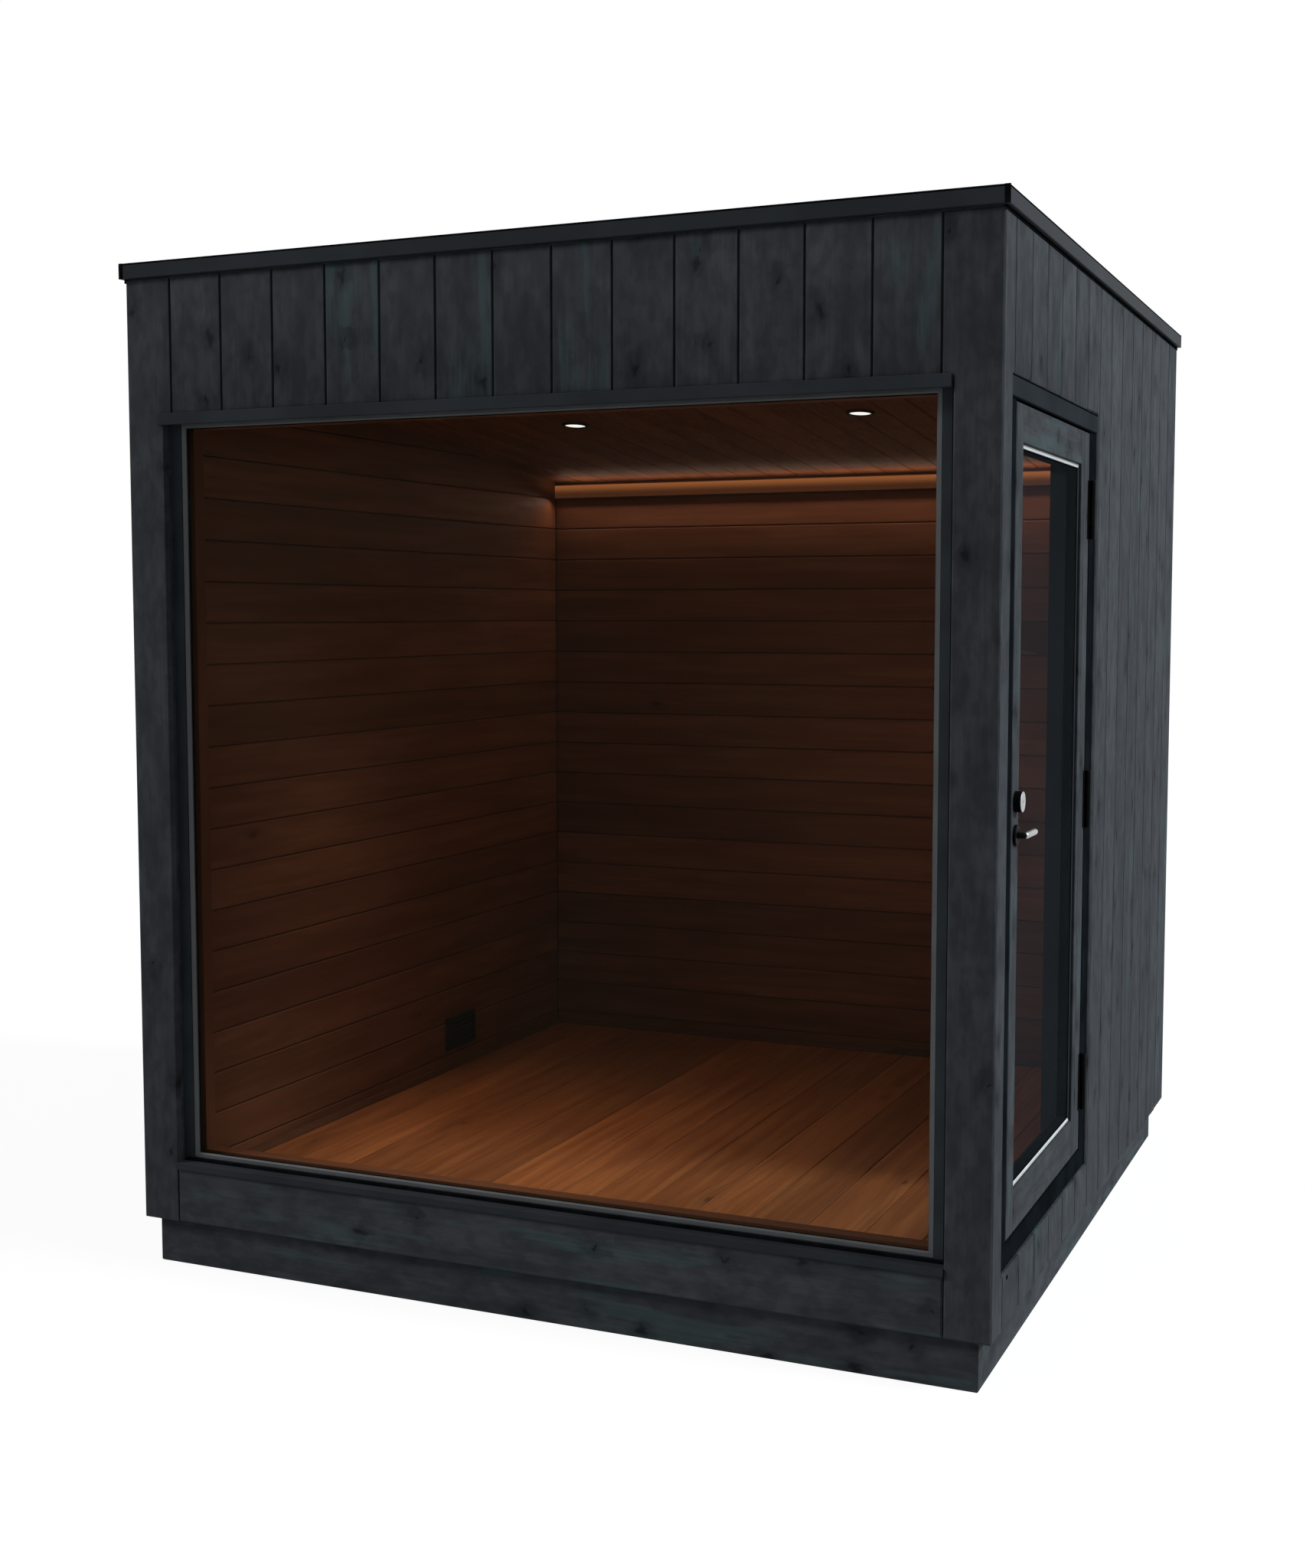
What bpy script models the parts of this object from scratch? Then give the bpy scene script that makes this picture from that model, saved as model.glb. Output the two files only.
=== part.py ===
# Outdoor sauna cabin: a black-stained timber box on a set-back plinth, with one big fixed window
# in front, a glazed door in the right side, a flat roof with a coping and a bare inner room.
# Metres, +Z up. The front faces -Y. X and Y below are measured from the front left corner of the
# walls and Z from the ground, and every point is then shifted so that the origin lies at the
# bottom centre of the whole cabin.
import math

import bmesh
import bpy
from mathutils import Matrix, Vector

# Outer walls
WALL_WIDTH = 2.200
WALL_DEPTH = 2.250
WALL_BASE = 0.117
WALL_TOP = 2.473
WALL_THICK = 0.104
SEAT = 0.0003  # gap between pieces that touch
EDGE_ROUND = 0.002

# Plinth and floor
PLINTH_BEAM = 0.095
PLINTH_INSET_FRONT = 0.024
PLINTH_INSET_SIDE = 0.033
PLINTH_INSET_BACK = 0.043
JOIST_HEIGHT = 0.061
JOIST_WIDTH = 0.045
JOIST_COUNT = 6
FLOOR_BOARD = 0.028

# Corner posts, as wide as the window and door openings leave them
POST_FRONT_WIDTH = 0.105
POST_SIDE_WIDTH = 0.077

# Roof
DECK_THICK = 0.018
DECK_INSET = 0.006
ROOF_PANEL_RISE = 0.012
COPING_OVERHANG = 0.011
COPING_WIDTH = 0.120
COPING_HEIGHT = 0.038
COPING_LIFT = 0.003
CEILING_THICK = 0.075
ROOF_VOID = 0.104  # between the ceiling and the deck, at the front
CEILING_FALL = 0.182  # from the front of the room to its back

# Front window
WINDOW_BOTTOM = 0.266
WINDOW_HEADER = 0.333
WINDOW_RECESS = 0.030
WINDOW_FRAME_SIDE = 0.030
WINDOW_FRAME_TOP = 0.0165
WINDOW_FRAME_BOTTOM = 0.012
WINDOW_BEAD = 0.013
WINDOW_BEAD_DEPTH = 0.008
WINDOW_BEAD_BACK = 0.010
WINDOW_PANE = 0.024
SILL_SHEET = 0.003
SILL_NOSE = 0.007
SILL_DRIP = 0.012

# Drip strip, nailed over the joint between the header and the window
DRIP_STRIP_THICK = 0.0055
DRIP_STRIP_ABOVE = 0.0055
DRIP_STRIP_BELOW = 0.023
DRIP_STRIP_LEFT_LAP = 0.013
DRIP_STRIP_RIGHT_GAP = 0.003

# Side door opening
DOOR_FAR = 1.005
DOOR_BOTTOM = 0.238
DOOR_HEADER = 0.322
DOOR_RECESS = 0.008
JAMB_LOCK_SIDE = 0.070
JAMB_HINGE_SIDE = 0.060
JAMB_HEAD = 0.044
JAMB_THRESHOLD = 0.050
JAMB_STOP = 0.010
DOOR_CLEARANCE = 0.007

# Door leaf
LEAF_THICK = 0.040
LOCK_STILE = 0.063
HINGE_STILE = 0.093
TOP_RAIL = 0.082
BOTTOM_RAIL = 0.095
LEAF_REBATE_DEPTH = 0.034
LEAF_LIP = 0.012
LEAF_BEAD = 0.009
LEAF_BEAD_DEPTH = 0.003
LEAF_BEAD_BACK = 0.010

# Hinges
HINGE_RADIUS = 0.008
HINGE_LENGTH = 0.145
HINGE_FROM_BOTTOM = 0.175
HINGE_FROM_TOP = 0.188
HINGE_FLAP_THICK = 0.0025
HINGE_FLAP_WIDTH = 0.030
HINGE_SLIT = 0.0006

# Door furniture
SPINDLE_FROM_EDGE = 0.0315
SPINDLE_HEIGHT = 1.179
LOCK_ABOVE_SPINDLE = 0.073
ROSE_RADIUS = 0.023
ROSE_THICK = 0.007
LOCK_THICK = 0.0175
LEVER_TUBE = 0.007
LEVER_REACH = 0.024
LEVER_LENGTH = 0.090
LEVER_BEND = 0.014
LEVER_TIP = 0.004
TURN_WIDTH = 0.009
TURN_HEIGHT = 0.032
TURN_REACH = 0.017

# Latch and strike plates, let into the edges of the leaf and the jamb
LATCH_WIDTH = 0.022
LATCH_BELOW_SPINDLE = 0.045
LATCH_ABOVE_SPINDLE = 0.120
LATCH_THICK = 0.003
STRIKE_HOLE_WIDTH = 0.013
STRIKE_HOLE_HEIGHT = 0.040
STRIKE_POCKET = 0.014

# Fittings of the room
LED_BELOW_CEILING = 0.009
LED_HEIGHT = 0.048
LED_DEPTH = 0.010
LIGHT_RADIUS = 0.040
LIGHT_LENS = 0.0295
LIGHT_DROP = 0.006
LIGHT_SPREAD = 0.430
LIGHT_FROM_FRONT = 1.150
VENT_FROM_FRONT = 1.350
VENT_WIDTH = 0.175
VENT_BOTTOM = 0.270
VENT_HEIGHT = 0.102
VENT_THICK = 0.012
VENT_BORDER = 0.012
VENT_SLATS = 6
SKIRTING_HEIGHT = 0.018
SKIRTING_THICK = 0.014

# Places worked out from the sizes above
HANDLE_PROUD = LEVER_REACH + LEVER_TUBE - DOOR_RECESS
ORIGIN = Vector(((WALL_WIDTH + HANDLE_PROUD - COPING_OVERHANG) / 2, WALL_DEPTH / 2, 0))
INNER_LEFT = WALL_THICK
INNER_RIGHT = WALL_WIDTH - WALL_THICK
INNER_FRONT = WALL_THICK
INNER_BACK = WALL_DEPTH - WALL_THICK
FLOOR_TOP = WALL_BASE + JOIST_HEIGHT + FLOOR_BOARD
CEILING_FRONT = WALL_TOP - ROOF_VOID - CEILING_THICK
CEILING_SLOPE = -CEILING_FALL / (INNER_BACK - INNER_FRONT)
WINDOW_HEAD = WALL_TOP - WINDOW_HEADER
DOOR_HEAD = WALL_TOP - DOOR_HEADER
LED_TOP = CEILING_FRONT - CEILING_FALL - LED_BELOW_CEILING
DOOR_NEAR = POST_SIDE_WIDTH
LEAF_FACE = WALL_WIDTH - DOOR_RECESS
LEAF_NEAR = DOOR_NEAR + JAMB_LOCK_SIDE + DOOR_CLEARANCE
LEAF_FAR = DOOR_FAR - JAMB_HINGE_SIDE - DOOR_CLEARANCE
LEAF_BOTTOM = DOOR_BOTTOM + JAMB_THRESHOLD + DOOR_CLEARANCE
LEAF_TOP = DOOR_HEAD - JAMB_HEAD - DOOR_CLEARANCE
HINGE_AXIS = Vector((LEAF_FACE + HINGE_RADIUS + SEAT, LEAF_FAR + DOOR_CLEARANCE / 2, 0))
HINGE_LOW = LEAF_BOTTOM + HINGE_FROM_BOTTOM
HINGE_TOP = LEAF_TOP - HINGE_FROM_TOP
HINGE_HEIGHTS = {"low": HINGE_LOW, "middle": (HINGE_LOW + HINGE_TOP) / 2, "top": HINGE_TOP}
SPINDLE = Vector((LEAF_FACE, LEAF_NEAR + SPINDLE_FROM_EDGE, SPINDLE_HEIGHT))
ROUND_STEPS = 24


def clear_scene():
    for obj in list(bpy.data.objects):
        bpy.data.objects.remove(obj, do_unlink=True)


def material(name, color, roughness, metallic=0.0, alpha=1.0):
    mat = bpy.data.materials.new(name)
    mat.use_nodes = True
    shader = mat.node_tree.nodes["Principled BSDF"]
    shader.inputs["Base Color"].default_value = (*color, 1.0)
    shader.inputs["Roughness"].default_value = roughness
    shader.inputs["Metallic"].default_value = metallic
    shader.inputs["Alpha"].default_value = alpha
    mat.diffuse_color = (*color, alpha)
    return mat


def place(centre, parent):
    """A point in the walls' measures as a location under its parent."""
    held = Vector(parent["world"]) if parent else Vector()
    return Vector(centre) - ORIGIN - held


def finish(name, bm, mat, centre, parent=None, smooth=False):
    """Turn a bmesh, drawn around its own centre, into an object placed at that centre."""
    bmesh.ops.recalc_face_normals(bm, faces=bm.faces)
    mesh = bpy.data.meshes.new(name)
    bm.to_mesh(mesh)
    bm.free()
    if smooth:
        mesh.shade_smooth()
        mesh.set_sharp_from_angle(angle=math.radians(35))
    mesh.materials.append(mat)
    obj = bpy.data.objects.new(name, mesh)
    bpy.context.collection.objects.link(obj)
    obj.parent = parent
    obj.location = place(centre, parent)
    return obj


def axis_empty(name, centre, parent=None):
    """An empty on a joint's axis, which carries the pieces that turn about it."""
    empty = bpy.data.objects.new(name, None)
    bpy.context.collection.objects.link(empty)
    empty.empty_display_size = 0.1
    empty.parent = parent
    empty.location = place(centre, parent)
    empty["world"] = Vector(centre) - ORIGIN
    return empty


def rounded(obj, width=EDGE_ROUND):
    bevel = obj.modifiers.new("edge", "BEVEL")
    bevel.width = width
    bevel.segments = 1
    bevel.limit_method = "ANGLE"
    return obj


def slab(name, low, high, mat, parent=None, edge=0.0):
    """A plain board, post or panel between two corners."""
    low = Vector(low)
    high = Vector(high)
    bm = bmesh.new()
    bmesh.ops.create_cube(bm, size=1.0)
    bmesh.ops.scale(bm, vec=high - low, verts=bm.verts)
    obj = finish(name, bm, mat, (low + high) / 2, parent)
    return rounded(obj, edge) if edge else obj


def mitred_frame(name, loops, normal, mat, parent=None):
    """A frame with mitred corners. Each loop is a rectangle (u0, u1, v0, v1) at a depth along
    the normal axis, and the loops, bridged in turn and closed, are its section."""
    first, depth = loops[0]
    centre_u = (first[0] + first[1]) / 2
    centre_v = (first[2] + first[3]) / 2
    bm = bmesh.new()
    rings = []
    for (u0, u1, v0, v1), w in loops:
        corners = ((u0, v0), (u1, v0), (u1, v1), (u0, v1))
        ring = []
        for u, v in corners:
            local = (u - centre_u, v - centre_v, w - depth)
            ring.append(bm.verts.new(spread(local, normal)))
        rings.append(ring)
    for ring, following in zip(rings, rings[1:] + rings[:1]):
        for i in range(4):
            j = (i + 1) % 4
            bm.faces.new((ring[i], ring[j], following[j], following[i]))
    return finish(name, bm, mat, spread((centre_u, centre_v, depth), normal), parent)


def spread(local, normal):
    """Coordinates in a face's own plane, as X, Y and Z."""
    u, v, w = local
    if normal == "X":
        return Vector((w, u, v))
    if normal == "Y":
        return Vector((u, w, v))
    return Vector((u, v, w))


def extruded(name, outline, length, centre, mat, parent=None, turn=None, smooth=False):
    """A flat outline in X and Y drawn up along Z, then turned into place."""
    bm = bmesh.new()
    face = bm.faces.new([bm.verts.new((x, y, 0)) for x, y in outline])
    grown = bmesh.ops.extrude_face_region(bm, geom=[face])
    tip = [item for item in grown["geom"] if isinstance(item, bmesh.types.BMVert)]
    bmesh.ops.translate(bm, vec=(0, 0, length), verts=tip)
    if turn:
        bmesh.ops.transform(bm, matrix=turn, verts=bm.verts)
    return finish(name, bm, mat, centre, parent, smooth)


def turned(name, profile, centre, mat, parent=None, turn=None, steps=ROUND_STEPS):
    """A profile of radius and height spun about Z, then turned into place."""
    bm = bmesh.new()
    verts = [bm.verts.new((radius, 0, height)) for radius, height in profile]
    pairs = list(zip(verts, verts[1:]))
    if profile[0][0] > 0:
        pairs.append((verts[-1], verts[0]))
    edges = [bm.edges.new(pair) for pair in pairs]
    bmesh.ops.spin(bm, geom=verts + edges, cent=(0, 0, 0), axis=(0, 0, 1),
                   angle=math.tau, steps=steps, use_duplicate=False)
    bmesh.ops.remove_doubles(bm, verts=bm.verts, dist=0.00001)
    if turn:
        bmesh.ops.transform(bm, matrix=turn, verts=bm.verts)
    return finish(name, bm, mat, centre, parent, smooth=True)


def grow(rect, by):
    """A rectangle (u0, u1, v0, v1) drawn in by a margin on all sides, or out where it is negative."""
    return (rect[0] + by, rect[1] - by, rect[2] + by, rect[3] - by)


def build_base(mats):
    left = PLINTH_INSET_SIDE
    right = WALL_WIDTH - PLINTH_INSET_SIDE
    front = PLINTH_INSET_FRONT
    back = WALL_DEPTH - PLINTH_INSET_BACK
    top = WALL_BASE - SEAT
    slab("plinth_front", (left, front, 0), (right, front + PLINTH_BEAM, top), mats["plinth"],
         edge=EDGE_ROUND)
    slab("plinth_back", (left, back - PLINTH_BEAM, 0), (right, back, top), mats["plinth"],
         edge=EDGE_ROUND)
    side_front = front + PLINTH_BEAM + SEAT
    side_back = back - PLINTH_BEAM - SEAT
    slab("plinth_left", (left, side_front, 0), (left + PLINTH_BEAM, side_back, top), mats["plinth"],
         edge=EDGE_ROUND)
    slab("plinth_right", (right - PLINTH_BEAM, side_front, 0), (right, side_back, top),
         mats["plinth"], edge=EDGE_ROUND)
    build_floor(mats)


def build_floor(mats):
    """The floor's boards and the joists under them, as one section drawn from front to back."""
    width = INNER_RIGHT - INNER_LEFT - 2 * SEAT
    pitch = (width - JOIST_WIDTH) / (JOIST_COUNT - 1)
    outline = []
    for i in range(JOIST_COUNT):
        x = i * pitch
        if i > 0:
            outline.append((x, JOIST_HEIGHT))
        outline.append((x, 0))
        outline.append((x + JOIST_WIDTH, 0))
        if i < JOIST_COUNT - 1:
            outline.append((x + JOIST_WIDTH, JOIST_HEIGHT))
    thickness = JOIST_HEIGHT + FLOOR_BOARD
    outline += [(width, thickness), (0, thickness)]
    standing = Matrix.Rotation(math.pi / 2, 4, "X")
    extruded("floor", outline, INNER_BACK - INNER_FRONT - 2 * SEAT,
             (INNER_LEFT + SEAT, INNER_BACK - SEAT, WALL_BASE), mats["floor"], turn=standing)


def build_posts(mats):
    back = WALL_DEPTH - POST_SIDE_WIDTH
    right = WALL_WIDTH - POST_FRONT_WIDTH
    top = WALL_TOP - SEAT
    for name, x, y in (("front_left", 0, 0), ("front_right", right, 0),
                       ("back_left", 0, back), ("back_right", right, back)):
        slab("corner_post_" + name, (x, y, WALL_BASE),
             (x + POST_FRONT_WIDTH, y + POST_SIDE_WIDTH, top), mats["cladding"], edge=EDGE_ROUND)


def build_walls(mats):
    between_low = POST_FRONT_WIDTH + SEAT
    between_high = WALL_WIDTH - POST_FRONT_WIDTH - SEAT
    side_low = POST_SIDE_WIDTH + SEAT
    side_high = WALL_DEPTH - POST_SIDE_WIDTH - SEAT
    top = WALL_TOP - SEAT
    slab("front_header", (between_low, 0, WINDOW_HEAD + SEAT), (between_high, WALL_THICK, top),
         mats["cladding"])
    slab("front_sill", (between_low, 0, WALL_BASE), (between_high, WALL_THICK, WINDOW_BOTTOM - SEAT),
         mats["cladding"])
    slab("back_wall", (between_low, INNER_BACK, WALL_BASE), (between_high, WALL_DEPTH, top),
         mats["cladding"])
    slab("left_wall", (0, side_low, WALL_BASE), (WALL_THICK, side_high, top), mats["cladding"])
    slab("right_wall", (INNER_RIGHT, DOOR_FAR + SEAT, WALL_BASE), (WALL_WIDTH, side_high, top),
         mats["cladding"])
    slab("door_header", (INNER_RIGHT, side_low, DOOR_HEAD + SEAT), (WALL_WIDTH, DOOR_FAR, top),
         mats["cladding"])
    slab("door_sill", (INNER_RIGHT, side_low, WALL_BASE), (WALL_WIDTH, DOOR_FAR, DOOR_BOTTOM - SEAT),
         mats["cladding"])


def build_roof(mats):
    deck_top = WALL_TOP + DECK_THICK
    build_deck(mats)
    wall = (0, WALL_WIDTH, 0, WALL_DEPTH)
    outer = grow(wall, -COPING_OVERHANG)
    fascia_back = grow(wall, DECK_INSET - SEAT)
    inner = grow(outer, COPING_WIDTH)
    bottom = WALL_TOP + COPING_LIFT
    top = bottom + COPING_HEIGHT
    seat = deck_top + SEAT
    mitred_frame("roof_coping", ((outer, bottom), (fascia_back, bottom), (fascia_back, seat),
                                 (inner, seat), (inner, top), (grow(outer, EDGE_ROUND), top),
                                 (outer, top - EDGE_ROUND)), "Z", mats["coping"])
    run = INNER_BACK - INNER_FRONT - 2 * SEAT
    low = CEILING_FRONT + CEILING_SLOPE * SEAT
    drop = CEILING_SLOPE * run
    outline = ((0, 0), (run, drop), (run, drop + CEILING_THICK), (0, CEILING_THICK))
    upright = Matrix(((0, 0, 1, 0), (1, 0, 0, 0), (0, 1, 0, 0), (0, 0, 0, 1)))
    extruded("ceiling", outline, INNER_RIGHT - INNER_LEFT - 2 * SEAT,
             (INNER_LEFT + SEAT, INNER_FRONT + SEAT, low), mats["lining"], turn=upright)


def build_deck(mats):
    """The roof deck, whose field inside the coping stands a little higher than its rim."""
    low = Vector((DECK_INSET, DECK_INSET, WALL_TOP))
    high = Vector((WALL_WIDTH - DECK_INSET, WALL_DEPTH - DECK_INSET, WALL_TOP + DECK_THICK))
    rim = COPING_WIDTH - COPING_OVERHANG - DECK_INSET + SEAT
    bm = bmesh.new()
    bmesh.ops.create_cube(bm, size=1.0)
    bmesh.ops.scale(bm, vec=high - low, verts=bm.verts)
    bm.normal_update()
    top = [face for face in bm.faces if face.normal.z > 0.5]
    bmesh.ops.inset_region(bm, faces=top, thickness=rim, use_even_offset=True)
    grown = bmesh.ops.extrude_discrete_faces(bm, faces=top)
    bmesh.ops.translate(bm, vec=(0, 0, ROOF_PANEL_RISE),
                        verts=[vert for face in grown["faces"] for vert in face.verts])
    finish("roof_deck", bm, mats["membrane"], (low + high) / 2)


def build_window(mats):
    opening = (POST_FRONT_WIDTH + SEAT, WALL_WIDTH - POST_FRONT_WIDTH - SEAT,
               WINDOW_BOTTOM + SILL_SHEET + SEAT, WINDOW_HEAD)
    bead_outer = (POST_FRONT_WIDTH + WINDOW_FRAME_SIDE, WALL_WIDTH - POST_FRONT_WIDTH - WINDOW_FRAME_SIDE,
                  WINDOW_BOTTOM + WINDOW_FRAME_BOTTOM, WINDOW_HEAD - WINDOW_FRAME_TOP)
    seated = grow(bead_outer, SEAT)
    glazed = grow(bead_outer, WINDOW_BEAD)
    pane_front = WINDOW_RECESS + WINDOW_BEAD_BACK + SEAT
    pane_back = pane_front + WINDOW_PANE
    mitred_frame("window_frame", ((opening, WINDOW_RECESS), (bead_outer, WINDOW_RECESS),
                                  (bead_outer, pane_back), (opening, pane_back)), "Y",
                 mats["joinery"])
    bead_back = pane_front - SEAT
    bead_front = bead_back - WINDOW_BEAD_DEPTH
    mitred_frame("window_bead", ((seated, bead_front), (glazed, bead_front),
                                 (glazed, bead_back), (seated, bead_back)), "Y", mats["bead"])
    slab("window_glass", (seated[0], pane_front, seated[2]), (seated[1], pane_back, seated[3]),
         mats["glass"])
    lining_front = pane_back + SEAT
    mitred_frame("window_lining", ((opening, lining_front), (glazed, lining_front),
                                   (glazed, WALL_THICK), (opening, WALL_THICK)), "Y",
                 mats["lining"])
    fold = -(SILL_NOSE - SILL_SHEET)
    outline = ((WALL_THICK, 0), (WALL_THICK, SILL_SHEET), (-SILL_NOSE, SILL_SHEET),
               (-SILL_NOSE, -SILL_DRIP), (fold, -SILL_DRIP), (fold, 0))
    upright = Matrix(((0, 0, 1, 0), (1, 0, 0, 0), (0, 1, 0, 0), (0, 0, 0, 1)))
    extruded("window_sill_sheet", outline, opening[1] - opening[0],
             (opening[0], 0, WINDOW_BOTTOM), mats["coping"], turn=upright)
    slab("window_drip_strip",
         (POST_FRONT_WIDTH - DRIP_STRIP_LEFT_LAP, -SEAT - DRIP_STRIP_THICK, WINDOW_HEAD - DRIP_STRIP_BELOW),
         (WALL_WIDTH - POST_FRONT_WIDTH - DRIP_STRIP_RIGHT_GAP, -SEAT, WINDOW_HEAD + DRIP_STRIP_ABOVE),
         mats["coping"], edge=DRIP_STRIP_THICK / 4)


def jamb_outline(width, depth, stop_start, stop):
    """Section of a door jamb: its width, its depth into the wall and the stop behind the leaf."""
    return ((0, 0), (width, 0), (width, -stop_start), (width + stop, -stop_start),
            (width + stop, -depth), (0, -depth))


def build_door_frame(mats):
    depth = LEAF_FACE - INNER_RIGHT
    stop_start = LEAF_THICK + DOOR_CLEARANCE
    low = DOOR_BOTTOM
    high = DOOR_HEAD
    near = DOOR_NEAR + SEAT
    far = DOOR_FAR - SEAT
    # Jambs stand upright. Their outline's x runs away from the opening's side, y out of the wall.
    lock_turn = Matrix(((0, 1, 0, 0), (1, 0, 0, 0), (0, 0, 1, 0), (0, 0, 0, 1)))
    hinge_turn = Matrix(((0, 1, 0, 0), (-1, 0, 0, 0), (0, 0, 1, 0), (0, 0, 0, 1)))
    lock_jamb = extruded("door_jamb_lock_side",
                         jamb_outline(JAMB_LOCK_SIDE - SEAT, depth, stop_start, JAMB_STOP),
                         high - low, (LEAF_FACE, near, low), mats["frame"], turn=lock_turn)
    extruded("door_jamb_hinge_side",
             jamb_outline(JAMB_HINGE_SIDE - SEAT, depth, stop_start, JAMB_STOP), high - low,
             (LEAF_FACE, far, low), mats["frame"], turn=hinge_turn)
    # Head and threshold lie between the jambs, cut back at their ends for the jambs' stops.
    member_near = near + JAMB_LOCK_SIDE
    member_far = far - JAMB_HINGE_SIDE
    for name, width, height, up in (("door_head", JAMB_HEAD, high, -1),
                                    ("door_threshold", JAMB_THRESHOLD, low, 1)):
        cross_member(name, member_near, member_far, height, up, width, depth, stop_start,
                     mats["frame"])
    return lock_jamb


def cross_member(name, near, far, height, up, width, depth, stop_start, mat):
    """A head or threshold with its stop, drawn as eight points on its flat side, the eight
    above them, and four of those once more where the stop rises past the rest."""
    inset = JAMB_STOP + SEAT
    length = far - near
    plan = ((0, 0), (0, length), (-stop_start, length), (-stop_start, length - inset),
            (-depth, length - inset), (-depth, inset), (-stop_start, inset), (-stop_start, 0))
    bm = bmesh.new()
    flat = [bm.verts.new((x, y, 0)) for x, y in plan]
    crest = up * (width + JAMB_STOP)
    heights = {4: crest, 5: crest}
    face = [bm.verts.new((x, y, heights.get(i, up * width))) for i, (x, y) in enumerate(plan)]
    ridge = {3: bm.verts.new((*plan[3], crest)), 6: bm.verts.new((*plan[6], crest))}
    bm.faces.new(flat)
    bm.faces.new([face[i] for i in (0, 1, 2, 3, 6, 7)])
    bm.faces.new((face[3], ridge[3], ridge[6], face[6]))
    bm.faces.new((ridge[3], face[4], face[5], ridge[6]))
    for i in range(8):
        j = (i + 1) % 8
        side = [flat[i], flat[j], face[j], face[i]]
        if i == 3:
            side = [flat[3], flat[4], face[4], ridge[3], face[3]]
        if i == 5:
            side = [flat[5], flat[6], face[6], ridge[6], face[5]]
        bm.faces.new(side)
    finish(name, bm, mat, (LEAF_FACE, near, height))


def pocket(target, name, low, high, mat):
    """Cut a housing for a plate out of a door piece."""
    cutter = slab(name, low, high, mat)
    cutter.hide_render = True
    cutter.display_type = "WIRE"
    cut = target.modifiers.new(name, "BOOLEAN")
    cut.operation = "DIFFERENCE"
    cut.object = cutter


def build_latch(mats, door, leaf, jamb):
    middle = LEAF_FACE - LEAF_THICK / 2
    near = middle - LATCH_WIDTH / 2
    far = middle + LATCH_WIDTH / 2
    low = SPINDLE.z - LATCH_BELOW_SPINDLE
    high = SPINDLE.z + LATCH_ABOVE_SPINDLE
    slab("latch_plate", (near, LEAF_NEAR, low), (far, LEAF_NEAR + LATCH_THICK, high),
         mats["steel"], door)
    pocket(leaf, "latch_housing", (near - SEAT, LEAF_NEAR - SEAT, low - SEAT),
           (far + SEAT, LEAF_NEAR + LATCH_THICK + SEAT, high + SEAT), mats["leaf"])
    edge = DOOR_NEAR + JAMB_LOCK_SIDE
    back = edge - LATCH_THICK
    plate = (near, far, low, high)
    hole = (middle - STRIKE_HOLE_WIDTH / 2, middle + STRIKE_HOLE_WIDTH / 2,
            SPINDLE.z - STRIKE_HOLE_HEIGHT / 2, SPINDLE.z + STRIKE_HOLE_HEIGHT / 2)
    mitred_frame("strike_plate", ((plate, edge), (hole, edge), (hole, back), (plate, back)), "Y",
                 mats["steel"])
    pocket(jamb, "strike_housing", (near - SEAT, back - SEAT, low - SEAT),
           (far + SEAT, edge + SEAT, high + SEAT), mats["frame"])
    pocket(jamb, "strike_pocket", (hole[0], back - STRIKE_POCKET, hole[2]),
           (hole[1], edge, hole[3]), mats["frame"])


def build_leaf(mats, door):
    outer = (LEAF_NEAR, LEAF_FAR, LEAF_BOTTOM, LEAF_TOP)
    light = (LEAF_NEAR + LOCK_STILE, LEAF_FAR - HINGE_STILE,
             LEAF_BOTTOM + BOTTOM_RAIL, LEAF_TOP - TOP_RAIL)
    lip = grow(light, LEAF_LIP)
    seated = grow(light, SEAT)
    rebate = LEAF_FACE - LEAF_REBATE_DEPTH
    back = LEAF_FACE - LEAF_THICK
    leaf = mitred_frame("door_leaf", ((outer, LEAF_FACE), (light, LEAF_FACE), (light, rebate),
                                      (lip, rebate), (lip, back), (outer, back)), "X",
                        mats["leaf"], door)
    bead_back = LEAF_FACE - LEAF_BEAD_BACK
    bead_front = bead_back + LEAF_BEAD_DEPTH
    bead_inner = grow(seated, LEAF_BEAD)
    mitred_frame("door_bead", ((seated, bead_front), (bead_inner, bead_front),
                               (bead_inner, bead_back), (seated, bead_back)), "X",
                 mats["bead"], door)
    slab("door_glass", (rebate + SEAT, seated[0], seated[2]),
         (bead_back - SEAT, seated[1], seated[3]), mats["glass"], door)
    return leaf


def hinge_outline(side):
    """Section of one hinge half: its knuckle and the flap that runs from it into the gap between
    leaf and jamb. The side is -1 for the leaf and 1 for the jamb."""
    outer = side * (DOOR_CLEARANCE / 2 - SEAT)
    inner = outer - side * HINGE_FLAP_THICK
    start = math.asin(outer / HINGE_RADIUS)
    end = math.asin(inner / HINGE_RADIUS)
    steps = ROUND_STEPS
    # The knuckle runs round from the flap's one face to its other, by way of the open side.
    first = math.pi - start
    last = math.pi - end
    sweep = -((first - last) % math.tau) if side > 0 else (last - first) % math.tau
    arc = [first + sweep * i / steps for i in range(steps + 1)]
    flap_end = -(HINGE_RADIUS + SEAT + HINGE_FLAP_WIDTH)
    points = [(HINGE_RADIUS * math.cos(a), HINGE_RADIUS * math.sin(a)) for a in arc]
    return points + [(flap_end, inner), (flap_end, outer)]


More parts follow.
